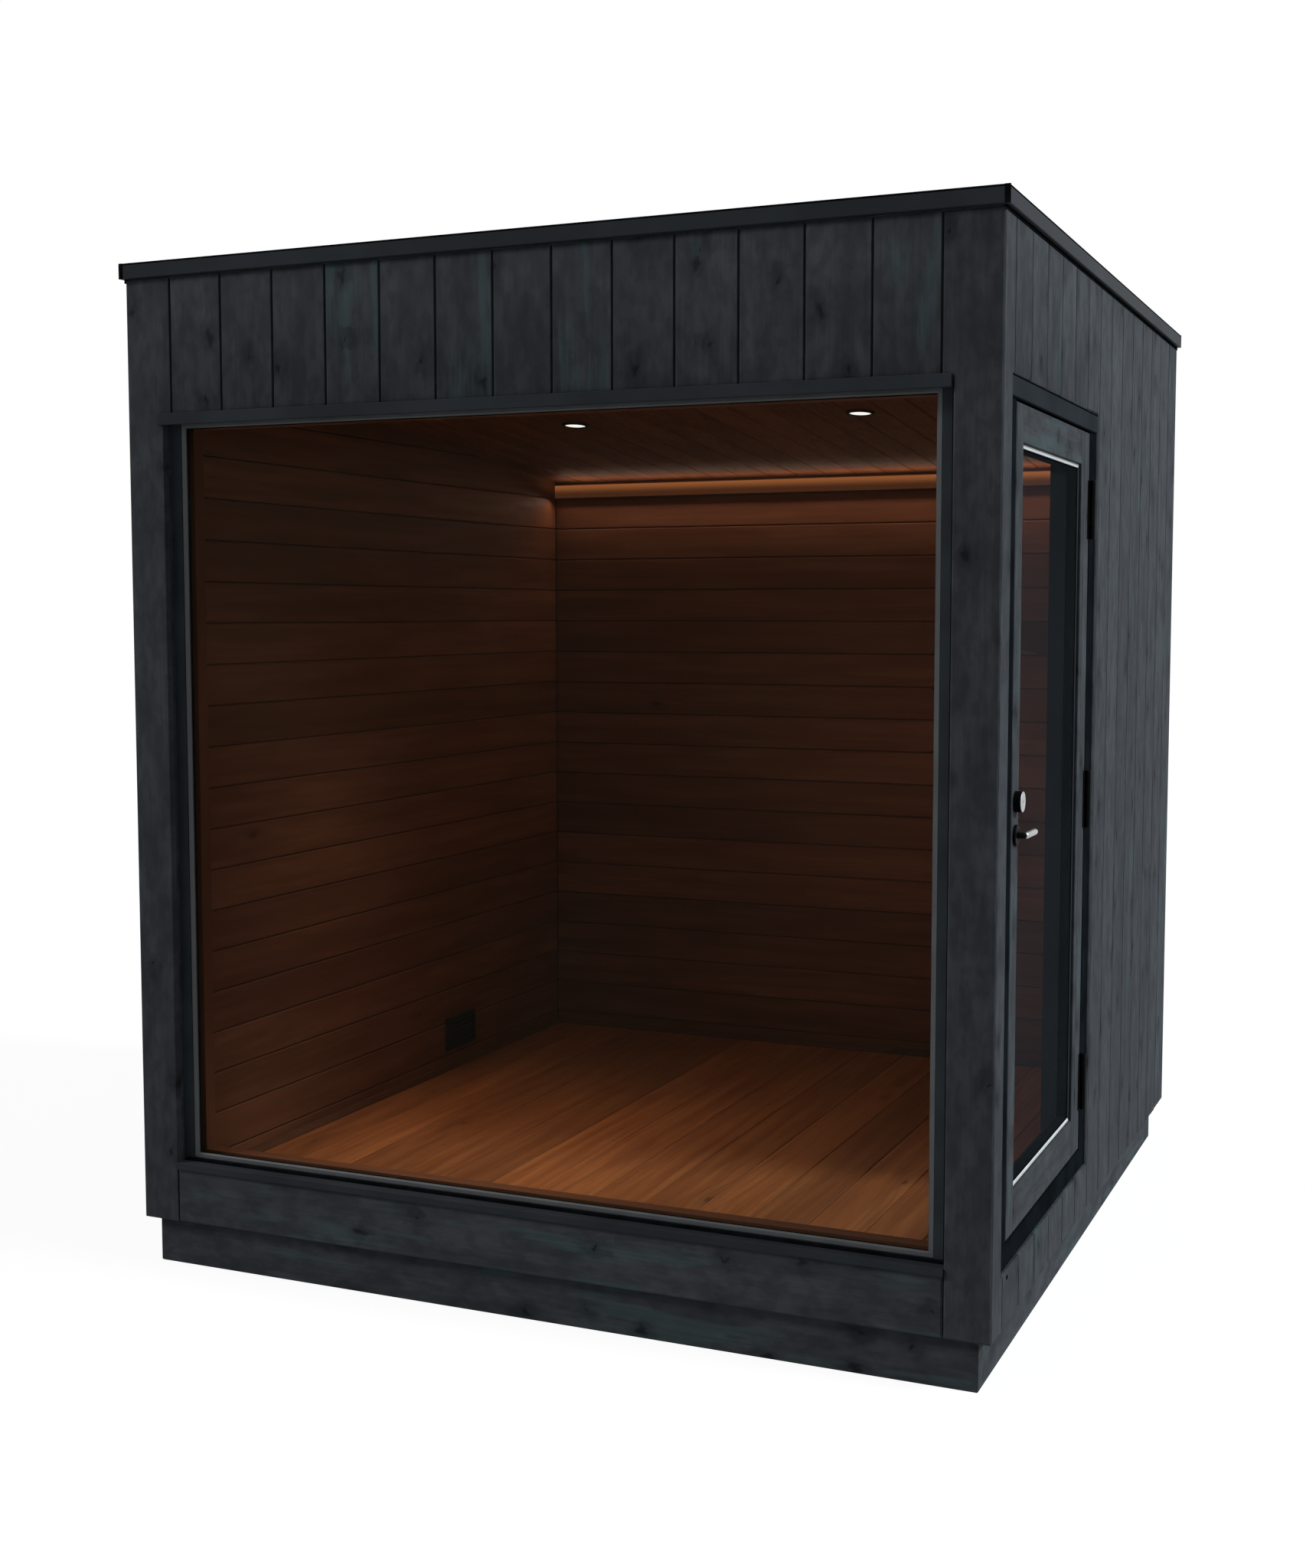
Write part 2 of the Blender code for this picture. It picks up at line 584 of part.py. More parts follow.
def build_hinges(mats, door):
    half = (HINGE_LENGTH - HINGE_SLIT) / 2
    for label, height in HINGE_HEIGHTS.items():
        bottom = height - HINGE_LENGTH / 2
        extruded("hinge_jamb_half_" + label, hinge_outline(1), half,
                 (HINGE_AXIS.x, HINGE_AXIS.y, bottom), mats["hinge"], smooth=True)
        extruded("hinge_leaf_half_" + label, hinge_outline(-1), half,
                 (HINGE_AXIS.x, HINGE_AXIS.y, bottom + half + HINGE_SLIT), mats["hinge"], door,
                 smooth=True)


def lever_curve(name, side, mats, handle):
    """A lever bent from round bar: out from the leaf, round a bend and along it to the hinges.
    The side is 1 outside and -1 inside."""
    face = 0.0 if side > 0 else -LEAF_THICK
    start = face + side * SEAT
    reach = face + side * LEVER_REACH
    points = [(start, 0.0)]
    for i in range(7):
        angle = math.pi / 2 * i / 6
        points.append((reach - side * LEVER_BEND * (1 - math.sin(angle)),
                       LEVER_BEND * (1 - math.cos(angle))))
    points.append((reach, LEVER_LENGTH - LEVER_TIP))
    points.append((reach, LEVER_LENGTH))
    curve = bpy.data.curves.new(name, "CURVE")
    curve.dimensions = "3D"
    curve.bevel_depth = LEVER_TUBE
    curve.bevel_resolution = 3
    curve.use_fill_caps = True
    spline = curve.splines.new("POLY")
    spline.points.add(len(points) - 1)
    for point, (x, y) in zip(spline.points, points):
        point.co = (x, y, 0, 1)
    spline.points[-1].radius = 0.55
    curve.materials.append(mats["steel"])
    obj = bpy.data.objects.new(name, curve)
    bpy.context.collection.objects.link(obj)
    obj.parent = handle
    return obj


def build_furniture(mats, door, handle):
    outward = Matrix.Rotation(math.pi / 2, 4, "Y")
    inward = Matrix.Rotation(-math.pi / 2, 4, "Y")
    lock = SPINDLE + Vector((0, 0, LOCK_ABOVE_SPINDLE))
    back = Vector((-LEAF_THICK, 0, 0))
    soft = 0.0015
    bore = LEVER_TUBE + 0.0006
    rose = ((bore, SEAT), (ROSE_RADIUS, SEAT), (ROSE_RADIUS, ROSE_THICK - soft),
            (ROSE_RADIUS - soft, ROSE_THICK), (bore, ROSE_THICK))
    turned("handle_rose_outer", rose, SPINDLE, mats["steel"], door, outward)
    turned("handle_rose_inner", rose, SPINDLE + back, mats["steel"], door, inward)
    cap = ((0, SEAT), (ROSE_RADIUS, SEAT), (ROSE_RADIUS, LOCK_THICK - 2 * soft),
           (ROSE_RADIUS - 2 * soft, LOCK_THICK), (0, LOCK_THICK))
    turned("lock_rose", cap, lock, mats["steel"], door, outward)
    plate = ((0, SEAT), (ROSE_RADIUS, SEAT), (ROSE_RADIUS, ROSE_THICK - soft),
             (ROSE_RADIUS - soft, ROSE_THICK), (0, ROSE_THICK))
    turned("thumb_turn_rose", plate, lock + back, mats["steel"], door, inward)
    slab("thumb_turn", lock + back - Vector((TURN_REACH, TURN_WIDTH / 2, TURN_HEIGHT / 2)),
         lock + back + Vector((-ROSE_THICK - SEAT, TURN_WIDTH / 2, TURN_HEIGHT / 2)),
         mats["steel"], door, edge=TURN_WIDTH / 4)
    lever_curve("lever_outer", 1, mats, handle)
    lever_curve("lever_inner", -1, mats, handle)


def build_fittings(mats):
    slab("led_strip", (INNER_LEFT + SEAT, INNER_BACK - LED_DEPTH - SEAT, LED_TOP - LED_HEIGHT),
         (INNER_RIGHT - SEAT, INNER_BACK - SEAT, LED_TOP), mats["diffuser"])
    height = CEILING_FRONT + CEILING_SLOPE * (LIGHT_FROM_FRONT - INNER_FRONT)
    tilt = Matrix.Rotation(math.atan(CEILING_SLOPE), 4, "X")
    ring = ((0, -SEAT), (LIGHT_RADIUS, -SEAT), (LIGHT_RADIUS, -LIGHT_DROP / 2),
            (LIGHT_RADIUS - LIGHT_DROP / 2, -LIGHT_DROP), (LIGHT_LENS + LIGHT_DROP / 4, -LIGHT_DROP),
            (LIGHT_LENS, -LIGHT_DROP / 2), (0, -LIGHT_DROP / 2))
    for label, side in (("left", -1), ("right", 1)):
        turned("downlight_" + label, ring,
               (WALL_WIDTH / 2 + side * LIGHT_SPREAD, LIGHT_FROM_FRONT, height),
               mats["light"], turn=tilt)
    build_vent(mats)
    build_skirting(mats)


def build_vent(mats):
    """A framed grille on the left wall: one plate with slots cut between its slats."""
    bm = bmesh.new()
    bmesh.ops.create_cube(bm, size=1.0)
    bmesh.ops.scale(bm, vec=(VENT_THICK, VENT_WIDTH, VENT_HEIGHT), verts=bm.verts)
    centre = (INNER_LEFT + SEAT + VENT_THICK / 2, VENT_FROM_FRONT + VENT_WIDTH / 2,
              VENT_BOTTOM + VENT_HEIGHT / 2)
    vent = finish("wall_vent", bm, mats["vent"], centre)
    pitch = (VENT_HEIGHT - 2 * VENT_BORDER) / VENT_SLATS
    for i in range(VENT_SLATS):
        slot = bmesh.new()
        bmesh.ops.create_cube(slot, size=1.0)
        bmesh.ops.scale(slot, vec=(VENT_THICK, VENT_WIDTH - 2 * VENT_BORDER, pitch * 0.5),
                        verts=slot.verts)
        bmesh.ops.rotate(slot, matrix=Matrix.Rotation(math.radians(-30), 3, "Y"), verts=slot.verts)
        z = centre[2] - VENT_HEIGHT / 2 + VENT_BORDER + pitch * (i + 0.5)
        cutter = finish("vent_slot_%d" % i, slot, mats["vent"],
                        (centre[0] + VENT_THICK * 0.45, centre[1], z))
        cutter.hide_render = True
        cutter.display_type = "WIRE"
        cut = vent.modifiers.new("slot_%d" % i, "BOOLEAN")
        cut.operation = "DIFFERENCE"
        cut.object = cutter


def build_skirting(mats):
    """A small skirting that runs from the front along the left, back and right walls to the door."""
    left = INNER_LEFT + 2 * SEAT
    right = INNER_RIGHT - 2 * SEAT
    front = INNER_FRONT + SEAT
    back = INNER_BACK - 2 * SEAT
    path = ((left, front, 0, 1), (left, back, 1, 1), (right, back, 1, -1),
            (right, DOOR_FAR + SKIRTING_THICK, 0, -1))
    bottom = FLOOR_TOP + SEAT
    section = ((0, 0), (SKIRTING_THICK, 0), (SKIRTING_THICK, SKIRTING_HEIGHT * 0.35),
               (SKIRTING_THICK * 0.45, SKIRTING_HEIGHT), (0, SKIRTING_HEIGHT))
    bm = bmesh.new()
    rings = []
    for x, y, corner, side in path:
        ring = []
        for out, up in section:
            ring.append(bm.verts.new((x + side * out - left, y - corner * out - front, up)))
        rings.append(ring)
    count = len(section)
    for ring, following in zip(rings, rings[1:]):
        for i in range(count):
            j = (i + 1) % count
            bm.faces.new((ring[i], ring[j], following[j], following[i]))
    bm.faces.new(rings[0])
    bm.faces.new(rings[-1])
    finish("skirting", bm, mats["lining"], (left, front, bottom))


def main():
    clear_scene()
    mats = {
        "cladding": material("black_stained_timber", (0.025, 0.028, 0.033), 0.62),
        "plinth": material("black_stained_beam", (0.022, 0.025, 0.029), 0.68),
        "coping": material("black_coated_sheet", (0.018, 0.020, 0.023), 0.45),
        "membrane": material("roof_felt", (0.030, 0.031, 0.033), 0.9),
        "floor": material("oiled_floor_boards", (0.110, 0.040, 0.016), 0.5),
        "lining": material("heat_treated_boards", (0.055, 0.018, 0.007), 0.55),
        "joinery": material("black_window_frame", (0.022, 0.024, 0.027), 0.55),
        "frame": material("black_door_frame", (0.016, 0.018, 0.020), 0.6),
        "leaf": material("black_stained_leaf", (0.028, 0.031, 0.036), 0.58),
        "bead": material("grey_glazing_bead", (0.36, 0.35, 0.34), 0.5),
        "glass": material("clear_glass", (0.9, 0.93, 0.92), 0.03, alpha=0.2),
        "hinge": material("black_hinge", (0.008, 0.008, 0.009), 0.4, 0.6),
        "steel": material("satin_steel", (0.62, 0.61, 0.59), 0.3, 1.0),
        "diffuser": material("opal_diffuser", (0.95, 0.62, 0.36), 0.5),
        "light": material("downlight_white", (0.9, 0.86, 0.8), 0.4),
        "vent": material("black_vent", (0.010, 0.010, 0.010), 0.6),
    }
    door = axis_empty("door_axis", HINGE_AXIS)
    handle = axis_empty("handle_axis", SPINDLE, door)
    build_base(mats)
    build_posts(mats)
    build_walls(mats)
    build_roof(mats)
    build_window(mats)
    lock_jamb = build_door_frame(mats)
    leaf = build_leaf(mats, door)
    build_latch(mats, door, leaf, lock_jamb)
    build_hinges(mats, door)
    build_furniture(mats, door, handle)
    build_fittings(mats)


main()
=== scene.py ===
# Looks of an outdoor sauna cabin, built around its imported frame: charcoal-stained spruce boards
# outside, heat-treated boards inside, a fixed window, a glazed door, coping, lights and fittings.
# What a user would change about a piece stands in the dictionary above its function.
import math
import random

import bmesh
import bpy
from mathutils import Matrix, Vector


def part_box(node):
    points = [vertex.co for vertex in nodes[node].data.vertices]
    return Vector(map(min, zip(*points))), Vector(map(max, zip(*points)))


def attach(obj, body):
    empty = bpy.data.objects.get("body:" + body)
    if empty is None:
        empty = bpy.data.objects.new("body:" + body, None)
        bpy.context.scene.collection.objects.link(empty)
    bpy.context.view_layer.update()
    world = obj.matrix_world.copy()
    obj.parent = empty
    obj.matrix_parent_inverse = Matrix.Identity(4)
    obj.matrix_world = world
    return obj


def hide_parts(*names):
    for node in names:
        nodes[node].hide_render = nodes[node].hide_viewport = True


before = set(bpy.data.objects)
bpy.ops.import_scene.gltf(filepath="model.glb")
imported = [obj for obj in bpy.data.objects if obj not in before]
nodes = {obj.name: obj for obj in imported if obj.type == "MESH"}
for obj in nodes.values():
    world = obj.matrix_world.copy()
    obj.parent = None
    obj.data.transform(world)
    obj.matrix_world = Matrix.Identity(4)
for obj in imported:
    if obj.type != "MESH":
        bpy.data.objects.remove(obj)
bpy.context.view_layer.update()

# Everything below is drawn in metres from the front left corner of the walls, on the ground.
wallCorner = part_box("corner_post_front_left")[0].copy()
wallBase = wallCorner.z
wallCorner.z = 0.0


def measured(node):
    low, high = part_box(node)
    return low - wallCorner, high - wallCorner


def middleOf(node):
    return sum(measured(node), Vector()) / 2


wallWidth, wallDepth, wallTop = measured("corner_post_back_right")[1]
postWidth, postDepth = measured("corner_post_front_left")[1][:2]
roomLeft = measured("left_wall")[1].x
roomRight = measured("right_wall")[0].x
roomFront = measured("front_header")[1].y
roomBack = measured("back_wall")[0].y
windowLow = measured("front_sill")[1].z
windowHigh = measured("front_header")[0].z
doorLow = measured("door_sill")[1].z
doorHigh = measured("door_header")[0].z
doorFar = measured("door_header")[1].y
floorTop = measured("floor")[1].z
print("frame loaded:", len(nodes), "nodes")


def toLinear(hexColour):
    channels = [int(hexColour[i:i + 2], 16) / 255 for i in (1, 3, 5)]
    linear = [c / 12.92 if c <= 0.04045 else ((c + 0.055) / 1.055) ** 2.4 for c in channels]
    return (*linear, 1.0)


def addNode(tree, kind, inputs=None, output=0, **settings):
    made = tree.nodes.new("ShaderNode" + kind)
    for name, value in settings.items():
        setattr(made, name, value)
    for name, value in (inputs or {}).items():
        if isinstance(value, bpy.types.NodeSocket):
            tree.links.new(value, made.inputs[name])
        else:
            made.inputs[name].default_value = value
    return made.outputs[output] if made.outputs else made


def makeMaterial(name, shaded, look):
    mat = bpy.data.materials.new(name)
    mat.use_nodes = True
    tree = mat.node_tree
    tree.nodes.clear()
    addNode(tree, "OutputMaterial", {"Surface": shaded(tree, look)})
    return mat


def shadeWood(tree, look):
    # Every board carries its own grain, measured in metres along, across and into it from its
    # pith, and its own tone, so that no two boards show the same rings, flames or knots.
    grain = addNode(tree, "Attribute", output="Vector", attribute_name="grain")
    tone = addNode(tree, "Attribute", output="Fac", attribute_name="tone")
    noise = {}
    for pattern, (along, across, into, detail) in look["patterns"].items():
        sized = addNode(tree, "VectorMath", {0: grain, 1: (1 / along, 1 / across, 1 / into)},
                        operation="MULTIPLY")
        noise[pattern] = addNode(tree, "TexNoise", {"Vector": sized, "Scale": 1.0, "Detail": detail})
    # Knots: some cells of a drawn-out pattern hold one, with a soft dark halo around it.
    along, across = look["knotCell"]
    cell = addNode(tree, "VectorMath", {0: grain, 1: (1 / along, 1 / across, 1.0)}, operation="MULTIPLY")
    frayed = addNode(tree, "VectorMath", {0: noise["ragged"].node.outputs["Color"],
                                          1: (look["fray"],) * 3, 2: cell}, operation="MULTIPLY_ADD")
    away = addNode(tree, "TexVoronoi", {"Vector": frayed, "Scale": 1.0}, voronoi_dimensions="2D")
    dice = addNode(tree, "SeparateColor", {0: away.node.outputs["Color"]})
    # The board's tone, stirred into a second number from 0 to 1 that says whether it is washed.
    chance = addNode(tree, "Math", {0: tone, 1: 9.7, 2: 20.0}, operation="MULTIPLY_ADD")
    chance = addNode(tree, "Math", {0: chance}, operation="FRACT")
    rare, size = look["knotRare"], look["knotSize"]
    rough, washRare = look["rough"], look["washRare"]
    # Each mask: the value it follows, where that starts and ends, and the mask at both places.
    ranges = {
        "present": (dice, rare, rare + 0.02, 0.0, 1.0),
        "size": (dice.node.outputs[1], 0.0, 1.0, size * 0.3, size),
        "bend": (away, 0.0, 0.34, look["knotBend"], 0.0),
        "halo": (away, size * 0.4, size * 2.6, look["haloShow"], 0.0),
        "blotch": (noise["blotch"], 0.34, 0.66, 0.0, 1.0),
        "cloud": (noise["cloud"], 0.60, 0.36, 0.0, look["cloudShow"]),
        "streak": (noise["streak"], 0.52, 0.66, 0.0, look["wash"]),
        "washed": (chance, washRare, washRare + 0.05, 0.0, 1.0),
        "fibre": (noise["fibre"], 0.62, 0.30, 0.0, look["fibreShow"]),
        "rough": (noise["fibre"], 0.35, 0.65, rough - 0.07, rough + 0.07),
    }
    masks = {}
    for mask, (value, low, high, least, most) in ranges.items():
        masks[mask] = addNode(tree, "MapRange", {0: value, 1: low, 2: high, 3: least, 4: most},
                              interpolation_type="SMOOTHSTEP")
    # Rings: distance from the pith, with a slow wander along the board, bent around each knot.
    sideways = addNode(tree, "VectorMath", {0: grain, 1: (0, 1, 1)}, operation="MULTIPLY")
    radius = addNode(tree, "VectorMath", {0: sideways}, "Value", operation="LENGTH")
    for value, amount in ((masks["bend"], masks["present"]), (noise["wander"], look["wander"])):
        radius = addNode(tree, "Math", {0: value, 1: amount, 2: radius}, operation="MULTIPLY_ADD")
    turns = addNode(tree, "Math", {0: radius, 1: look["ring"]}, operation="DIVIDE")
    wave = addNode(tree, "Math", {0: turns, 1: 1.0}, operation="PINGPONG")
    for mask, value, low, high, least, most in (
            ("late", wave, 0.45, 1.0, 0.0, look["lateShow"]),
            ("spot", away, 0.02, masks["size"], look["knotShow"], 0.0)):
        masks[mask] = addNode(tree, "MapRange", {0: value, 1: low, 2: high, 3: least, 4: most},
                              interpolation_type="SMOOTHSTEP")
    for mask, gate in (("spot", "present"), ("halo", "present"), ("streak", "washed")):
        masks[mask] = addNode(tree, "Math", {0: masks[mask], 1: masks[gate]}, operation="MULTIPLY")
    colour = toLinear(look["body"])
    for mask, coat in (("blotch", "pale"), ("cloud", "late"), ("streak", "washColour"), ("late", "late"),
                       ("fibre", "late"), ("halo", "knot"), ("spot", "knot")):
        colour = addNode(tree, "Mix", {0: masks[mask], 6: colour, 7: toLinear(look[coat])}, 2,
                         data_type="RGBA")
    lift = addNode(tree, "Math", {0: tone, 1: look["boardSpread"], 2: 1.0}, operation="MULTIPLY_ADD")
    lifted = addNode(tree, "VectorMath", {0: colour, "Scale": lift}, operation="SCALE")
    height = addNode(tree, "Math", {0: noise["fibre"], 1: masks["spot"]}, operation="SUBTRACT")
    height = addNode(tree, "Math", {0: wave, 1: 0.3, 2: height}, operation="MULTIPLY_ADD")
    bump = addNode(tree, "Bump", {"Height": height, "Strength": look["relief"], "Distance": 0.0012})
    return addNode(tree, "BsdfPrincipled", {"Base Color": lifted, "Roughness": masks["rough"], "IOR": 1.5,
                                            "Specular IOR Level": look["shine"], "Normal": bump})


# Sizes of each pattern's waves: metres along, across and into the board, then its detail.
# Fibres are drawn about 6 mm wide, coarser than real ones, so that they show in the picture.
sprucePatterns = {
    "fibre": (0.20, 0.006, 0.006, 4.0), "blotch": (0.16, 0.06, 0.1, 5.0),
    "cloud": (0.045, 0.026, 0.1, 6.0), "streak": (0.34, 0.05, 0.05, 5.0),
    "wander": (0.9, 0.12, 0.12, 2.0), "ragged": (0.03, 0.018, 0.05, 3.0),
}
aspenPatterns = {**sprucePatterns, "blotch": (0.5, 0.05, 0.1, 4.0), "cloud": (0.3, 0.03, 0.1, 4.0)}
pinePatterns = {**sprucePatterns, "blotch": (0.6, 0.05, 0.1, 4.0), "cloud": (0.5, 0.04, 0.1, 4.0)}
# Planed spruce under a matt charcoal stain: smooth soft greys in slow clouds, small black knots
# with smudges, and a cold blue-green cast on some boards where the stain is thinnest.
charcoalSpruce = {
    "patterns": sprucePatterns, "body": "#36393e", "pale": "#42454a", "late": "#24262a", "knot": "#0e0f11",
    "wash": 0.55, "washRare": 0.66, "washColour": "#435355", "ring": 0.011, "wander": 0.035,
    "knotCell": (0.16, 0.11), "knotRare": 0.60, "knotSize": 0.14, "fray": 0.34, "knotBend": 0.02,
    "knotShow": 0.72, "haloShow": 0.42, "lateShow": 0.12, "fibreShow": 0.24, "cloudShow": 0.38,
    "boardSpread": 0.10, "relief": 0.22, "rough": 0.75, "shine": 0.05,
}
# Heat-treated aspen, planed: even dark brown with a fine grain, and a lighter warm cast on some
# boards.
heatTreatedAspen = {
    "patterns": aspenPatterns, "body": "#6c412a", "pale": "#7c4e34", "late": "#502f1d", "knot": "#2c170f",
    "wash": 0.25, "washRare": 0.5, "washColour": "#8a5b3c", "ring": 0.007, "wander": 0.03,
    "knotCell": (0.5, 0.2), "knotRare": 0.90, "knotSize": 0.06, "fray": 0.05, "knotBend": 0.012,
    "knotShow": 0.6, "haloShow": 0.2, "lateShow": 0.16, "fibreShow": 0.14, "cloudShow": 0.14,
    "boardSpread": 0.16, "relief": 0.2, "rough": 0.6, "shine": 0.2,
}
# Oiled pine floor: orange-brown with clear flames, a soft satin from the oil.
oiledPine = {
    "patterns": pinePatterns, "body": "#854e27", "pale": "#965d33", "late": "#60331a", "knot": "#3a2013",
    "wash": 0.14, "washRare": 0.4, "washColour": "#a6703f", "ring": 0.011, "wander": 0.06,
    "knotCell": (0.6, 0.2), "knotRare": 0.85, "knotSize": 0.07, "fray": 0.05, "knotBend": 0.02,
    "knotShow": 0.7, "haloShow": 0.2, "lateShow": 0.28, "fibreShow": 0.10, "cloudShow": 0.26,
    "boardSpread": 0.26, "relief": 0.15, "rough": 0.5, "shine": 0.3,
}


def shadeSheet(tree, look):
    # Thin metal, paint, rubber or moulded skin: slow drift of colour and gloss over a fine relief.
    place = addNode(tree, "TexCoord", output="Object")
    cloud = addNode(tree, "TexNoise", {"Vector": place, "Scale": 1 / look["cloud"], "Detail": 3.0})
    skin = addNode(tree, "TexNoise", {"Vector": place, "Scale": 1 / look["skin"], "Detail": 2.0})
    drift = addNode(tree, "MapRange", {0: cloud, 1: 0.3, 2: 0.7}, interpolation_type="SMOOTHSTEP")
    low, high = look["rough"] - 0.06, look["rough"] + 0.06
    rough = addNode(tree, "MapRange", {0: cloud, 1: 0.3, 2: 0.7, 3: low, 4: high})
    colour = addNode(tree, "Mix", {0: drift, 6: toLinear(look["dark"]), 7: toLinear(look["light"])}, 2,
                     data_type="RGBA")
    bump = addNode(tree, "Bump", {"Height": skin, "Strength": look["relief"], "Distance": 0.0006})
    return addNode(tree, "BsdfPrincipled", {"Base Color": colour, "Roughness": rough,
                                            "IOR": look.get("ior", 1.5),
                                            "Specular IOR Level": look.get("shine", 0.3), "Normal": bump})


sheetLooks = {
    # Folded steel sheet, powder coated: matt charcoal with a fine orange-peel skin.
    "coatedSheet": ("powder coated steel sheet", {
        "dark": "#272a2e", "light": "#2f3338", "cloud": 0.25, "skin": 0.004, "rough": 0.55, "relief": 0.15,
        "shine": 0.04}),
    # The same sheet without its sheen, for the strip over the door.
    "mattSheet": ("matt coated steel strip", {
        "dark": "#292d31", "light": "#303438", "cloud": 0.25, "skin": 0.004, "rough": 0.8, "relief": 0.15,
        "shine": 0.0}),
    # Window joinery painted a cold charcoal, satin: the brush hardly shows.
    "charcoalPaint": ("charcoal painted softwood", {
        "dark": "#262b2f", "light": "#2e3438", "cloud": 0.12, "skin": 0.006, "rough": 0.55, "relief": 0.2,
        "shine": 0.05}),
    # Door frame painted black, close to matt, and darkened to near black so that it stays darker than the
    # boards beside it: the black also stands in as painted shade of the door's recess.
    "blackPaintShade": ("black painted softwood, darkened as painted shade", {
        "dark": "#101316", "light": "#171b1f", "cloud": 0.12, "skin": 0.006, "rough": 0.7, "relief": 0.2,
        "shine": 0.0}),
    # Extruded aluminium bead, dark anodised: dark grey with a soft sheen.
    "greyAnodised": ("grey anodised aluminium", {
        "dark": "#434547", "light": "#4d4f51", "cloud": 0.1, "skin": 0.003, "rough": 0.42, "relief": 0.08}),
    # The door's level beads are the same extrusion, coloured near white as a painted highlight where they
    # catch the light.
    "beadHighlight": ("aluminium bead with painted highlight", {
        "dark": "#c2c4c6", "light": "#d6d8da", "cloud": 0.1, "skin": 0.003, "rough": 0.38, "relief": 0.08}),
    # Black EPDM rubber: seals, spacers and the strip on the roof's edge, and the black strips laid as
    # painted shadow lines under the coping, along the door's drip strip and beside the window frame. Soft,
    # hardly any gloss.
    "edgeRubber": ("black EPDM rubber", {
        "dark": "#0b0c0e", "light": "#131417", "cloud": 0.05, "skin": 0.003, "rough": 0.8, "relief": 0.1,
        "shine": 0.0}),
    # Steel hinges and roses, zinc plated and blacked: deep black with a dull satin.
    "blackedSteel": ("blacked steel", {
        "dark": "#060707", "light": "#0c0d0e", "cloud": 0.03, "skin": 0.002, "rough": 0.5, "relief": 0.15,
        "shine": 0.02}),
    # Moulded ABS vent and lamp ring: black, with a fine spark-eroded texture.
    "mouldedAbs": ("moulded black ABS", {
        "dark": "#0e0f10", "light": "#17191a", "cloud": 0.05, "skin": 0.0015, "rough": 0.6, "relief": 0.25,
        "ior": 1.53}),
}


def shadeSteel(tree, look):
    # Satin stainless steel: bright grey, with a fine brushed grain that softens what it mirrors.
    # The brush lines of 0.2 mm are drawn at 0.8 mm so that they show.
    place = addNode(tree, "TexCoord", output="Object")
    sized = addNode(tree, "VectorMath", {0: place, 1: tuple(1 / size for size in look["brush"])},
                    operation="MULTIPLY")
    brushed = addNode(tree, "TexNoise", {"Vector": sized, "Scale": 1.0, "Detail": 2.0})
    share = addNode(tree, "MapRange", {0: brushed, 1: 0.3, 2: 0.7})
    low, high = look["rough"] - 0.05, look["rough"] + 0.07
    rough = addNode(tree, "MapRange", {0: brushed, 1: 0.3, 2: 0.7, 3: low, 4: high})
    colour = addNode(tree, "Mix", {0: share, 6: toLinear(look["dark"]), 7: toLinear(look["light"])}, 2,
                     data_type="RGBA")
    bump = addNode(tree, "Bump", {"Height": brushed, "Strength": 0.08, "Distance": 0.0003})
    return addNode(tree, "BsdfPrincipled", {"Base Color": colour, "Roughness": rough, "Metallic": 1.0,
                                            "Normal": bump})


satinSteelLook = {"dark": "#9a9da0", "light": "#b4b7b9", "rough": 0.34, "brush": (0.05, 0.05, 0.0008)}


def shadeGlass(tree, look):
    # Low-reflection grey float glass. The body tint of each face darkens the room a little, and a
    # thin drifting film of dust gives the faint veil of a pane in daylight. The coating takes the
    # mirror away.
    place = addNode(tree, "TexCoord", output="Object")
    film = addNode(tree, "TexNoise", {"Vector": place, "Scale": 1 / look["film"], "Detail": 3.0})
    share = addNode(tree, "MapRange", {0: film, 1: 0.3, 2: 0.7}, interpolation_type="SMOOTHSTEP")
    colour = addNode(tree, "Mix", {0: share, 6: toLinear(look["clean"]), 7: toLinear(look["dusty"])}, 2,
                     data_type="RGBA")
    return addNode(tree, "BsdfPrincipled", {"Base Color": colour, "Roughness": 0.12, "IOR": 1.5,
                                            "Specular IOR Level": 0.0, "Alpha": look["body"]})


greyGlassLook = {"clean": "#211f1a", "dusty": "#282620", "film": 0.5, "body": 0.22}
doorGlassLook = {"clean": "#2e3236", "dusty": "#34383d", "film": 0.3, "body": 0.22}


def shadeGlow(tree, look):
    # Light behind a frosted diffuser: brightest along its top edge, fading down to its lower one.
    place = addNode(tree, "TexCoord", output="Object")
    height = addNode(tree, "SeparateXYZ", {0: place}, "Z")
    rise = addNode(tree, "MapRange", {0: height, 1: look["low"], 2: look["high"]},
                   interpolation_type="SMOOTHSTEP")
    frost = addNode(tree, "TexNoise", {"Vector": place, "Scale": 1 / look["frost"], "Detail": 2.0})
    rise = addNode(tree, "Math", {0: frost, 1: 0.12, 2: rise}, operation="MULTIPLY_ADD", use_clamp=True)
    colour = addNode(tree, "Mix", {0: rise, 6: toLinear(look["dim"]), 7: toLinear(look["bright"])}, 2,
                     data_type="RGBA")
    return addNode(tree, "Emission", {"Color": colour, "Strength": look["strength"]})


strip = measured("led_strip")
ledLook = {"dim": "#4a2818", "bright": "#b06a3a", "low": strip[0].z + 0.014, "high": strip[1].z,
           "frost": 0.004, "strength": 1.0}
lensLook = {"dim": "#fff2e0", "bright": "#fffaf2", "low": 2.0, "high": 2.2, "frost": 0.003, "strength": 1.6}


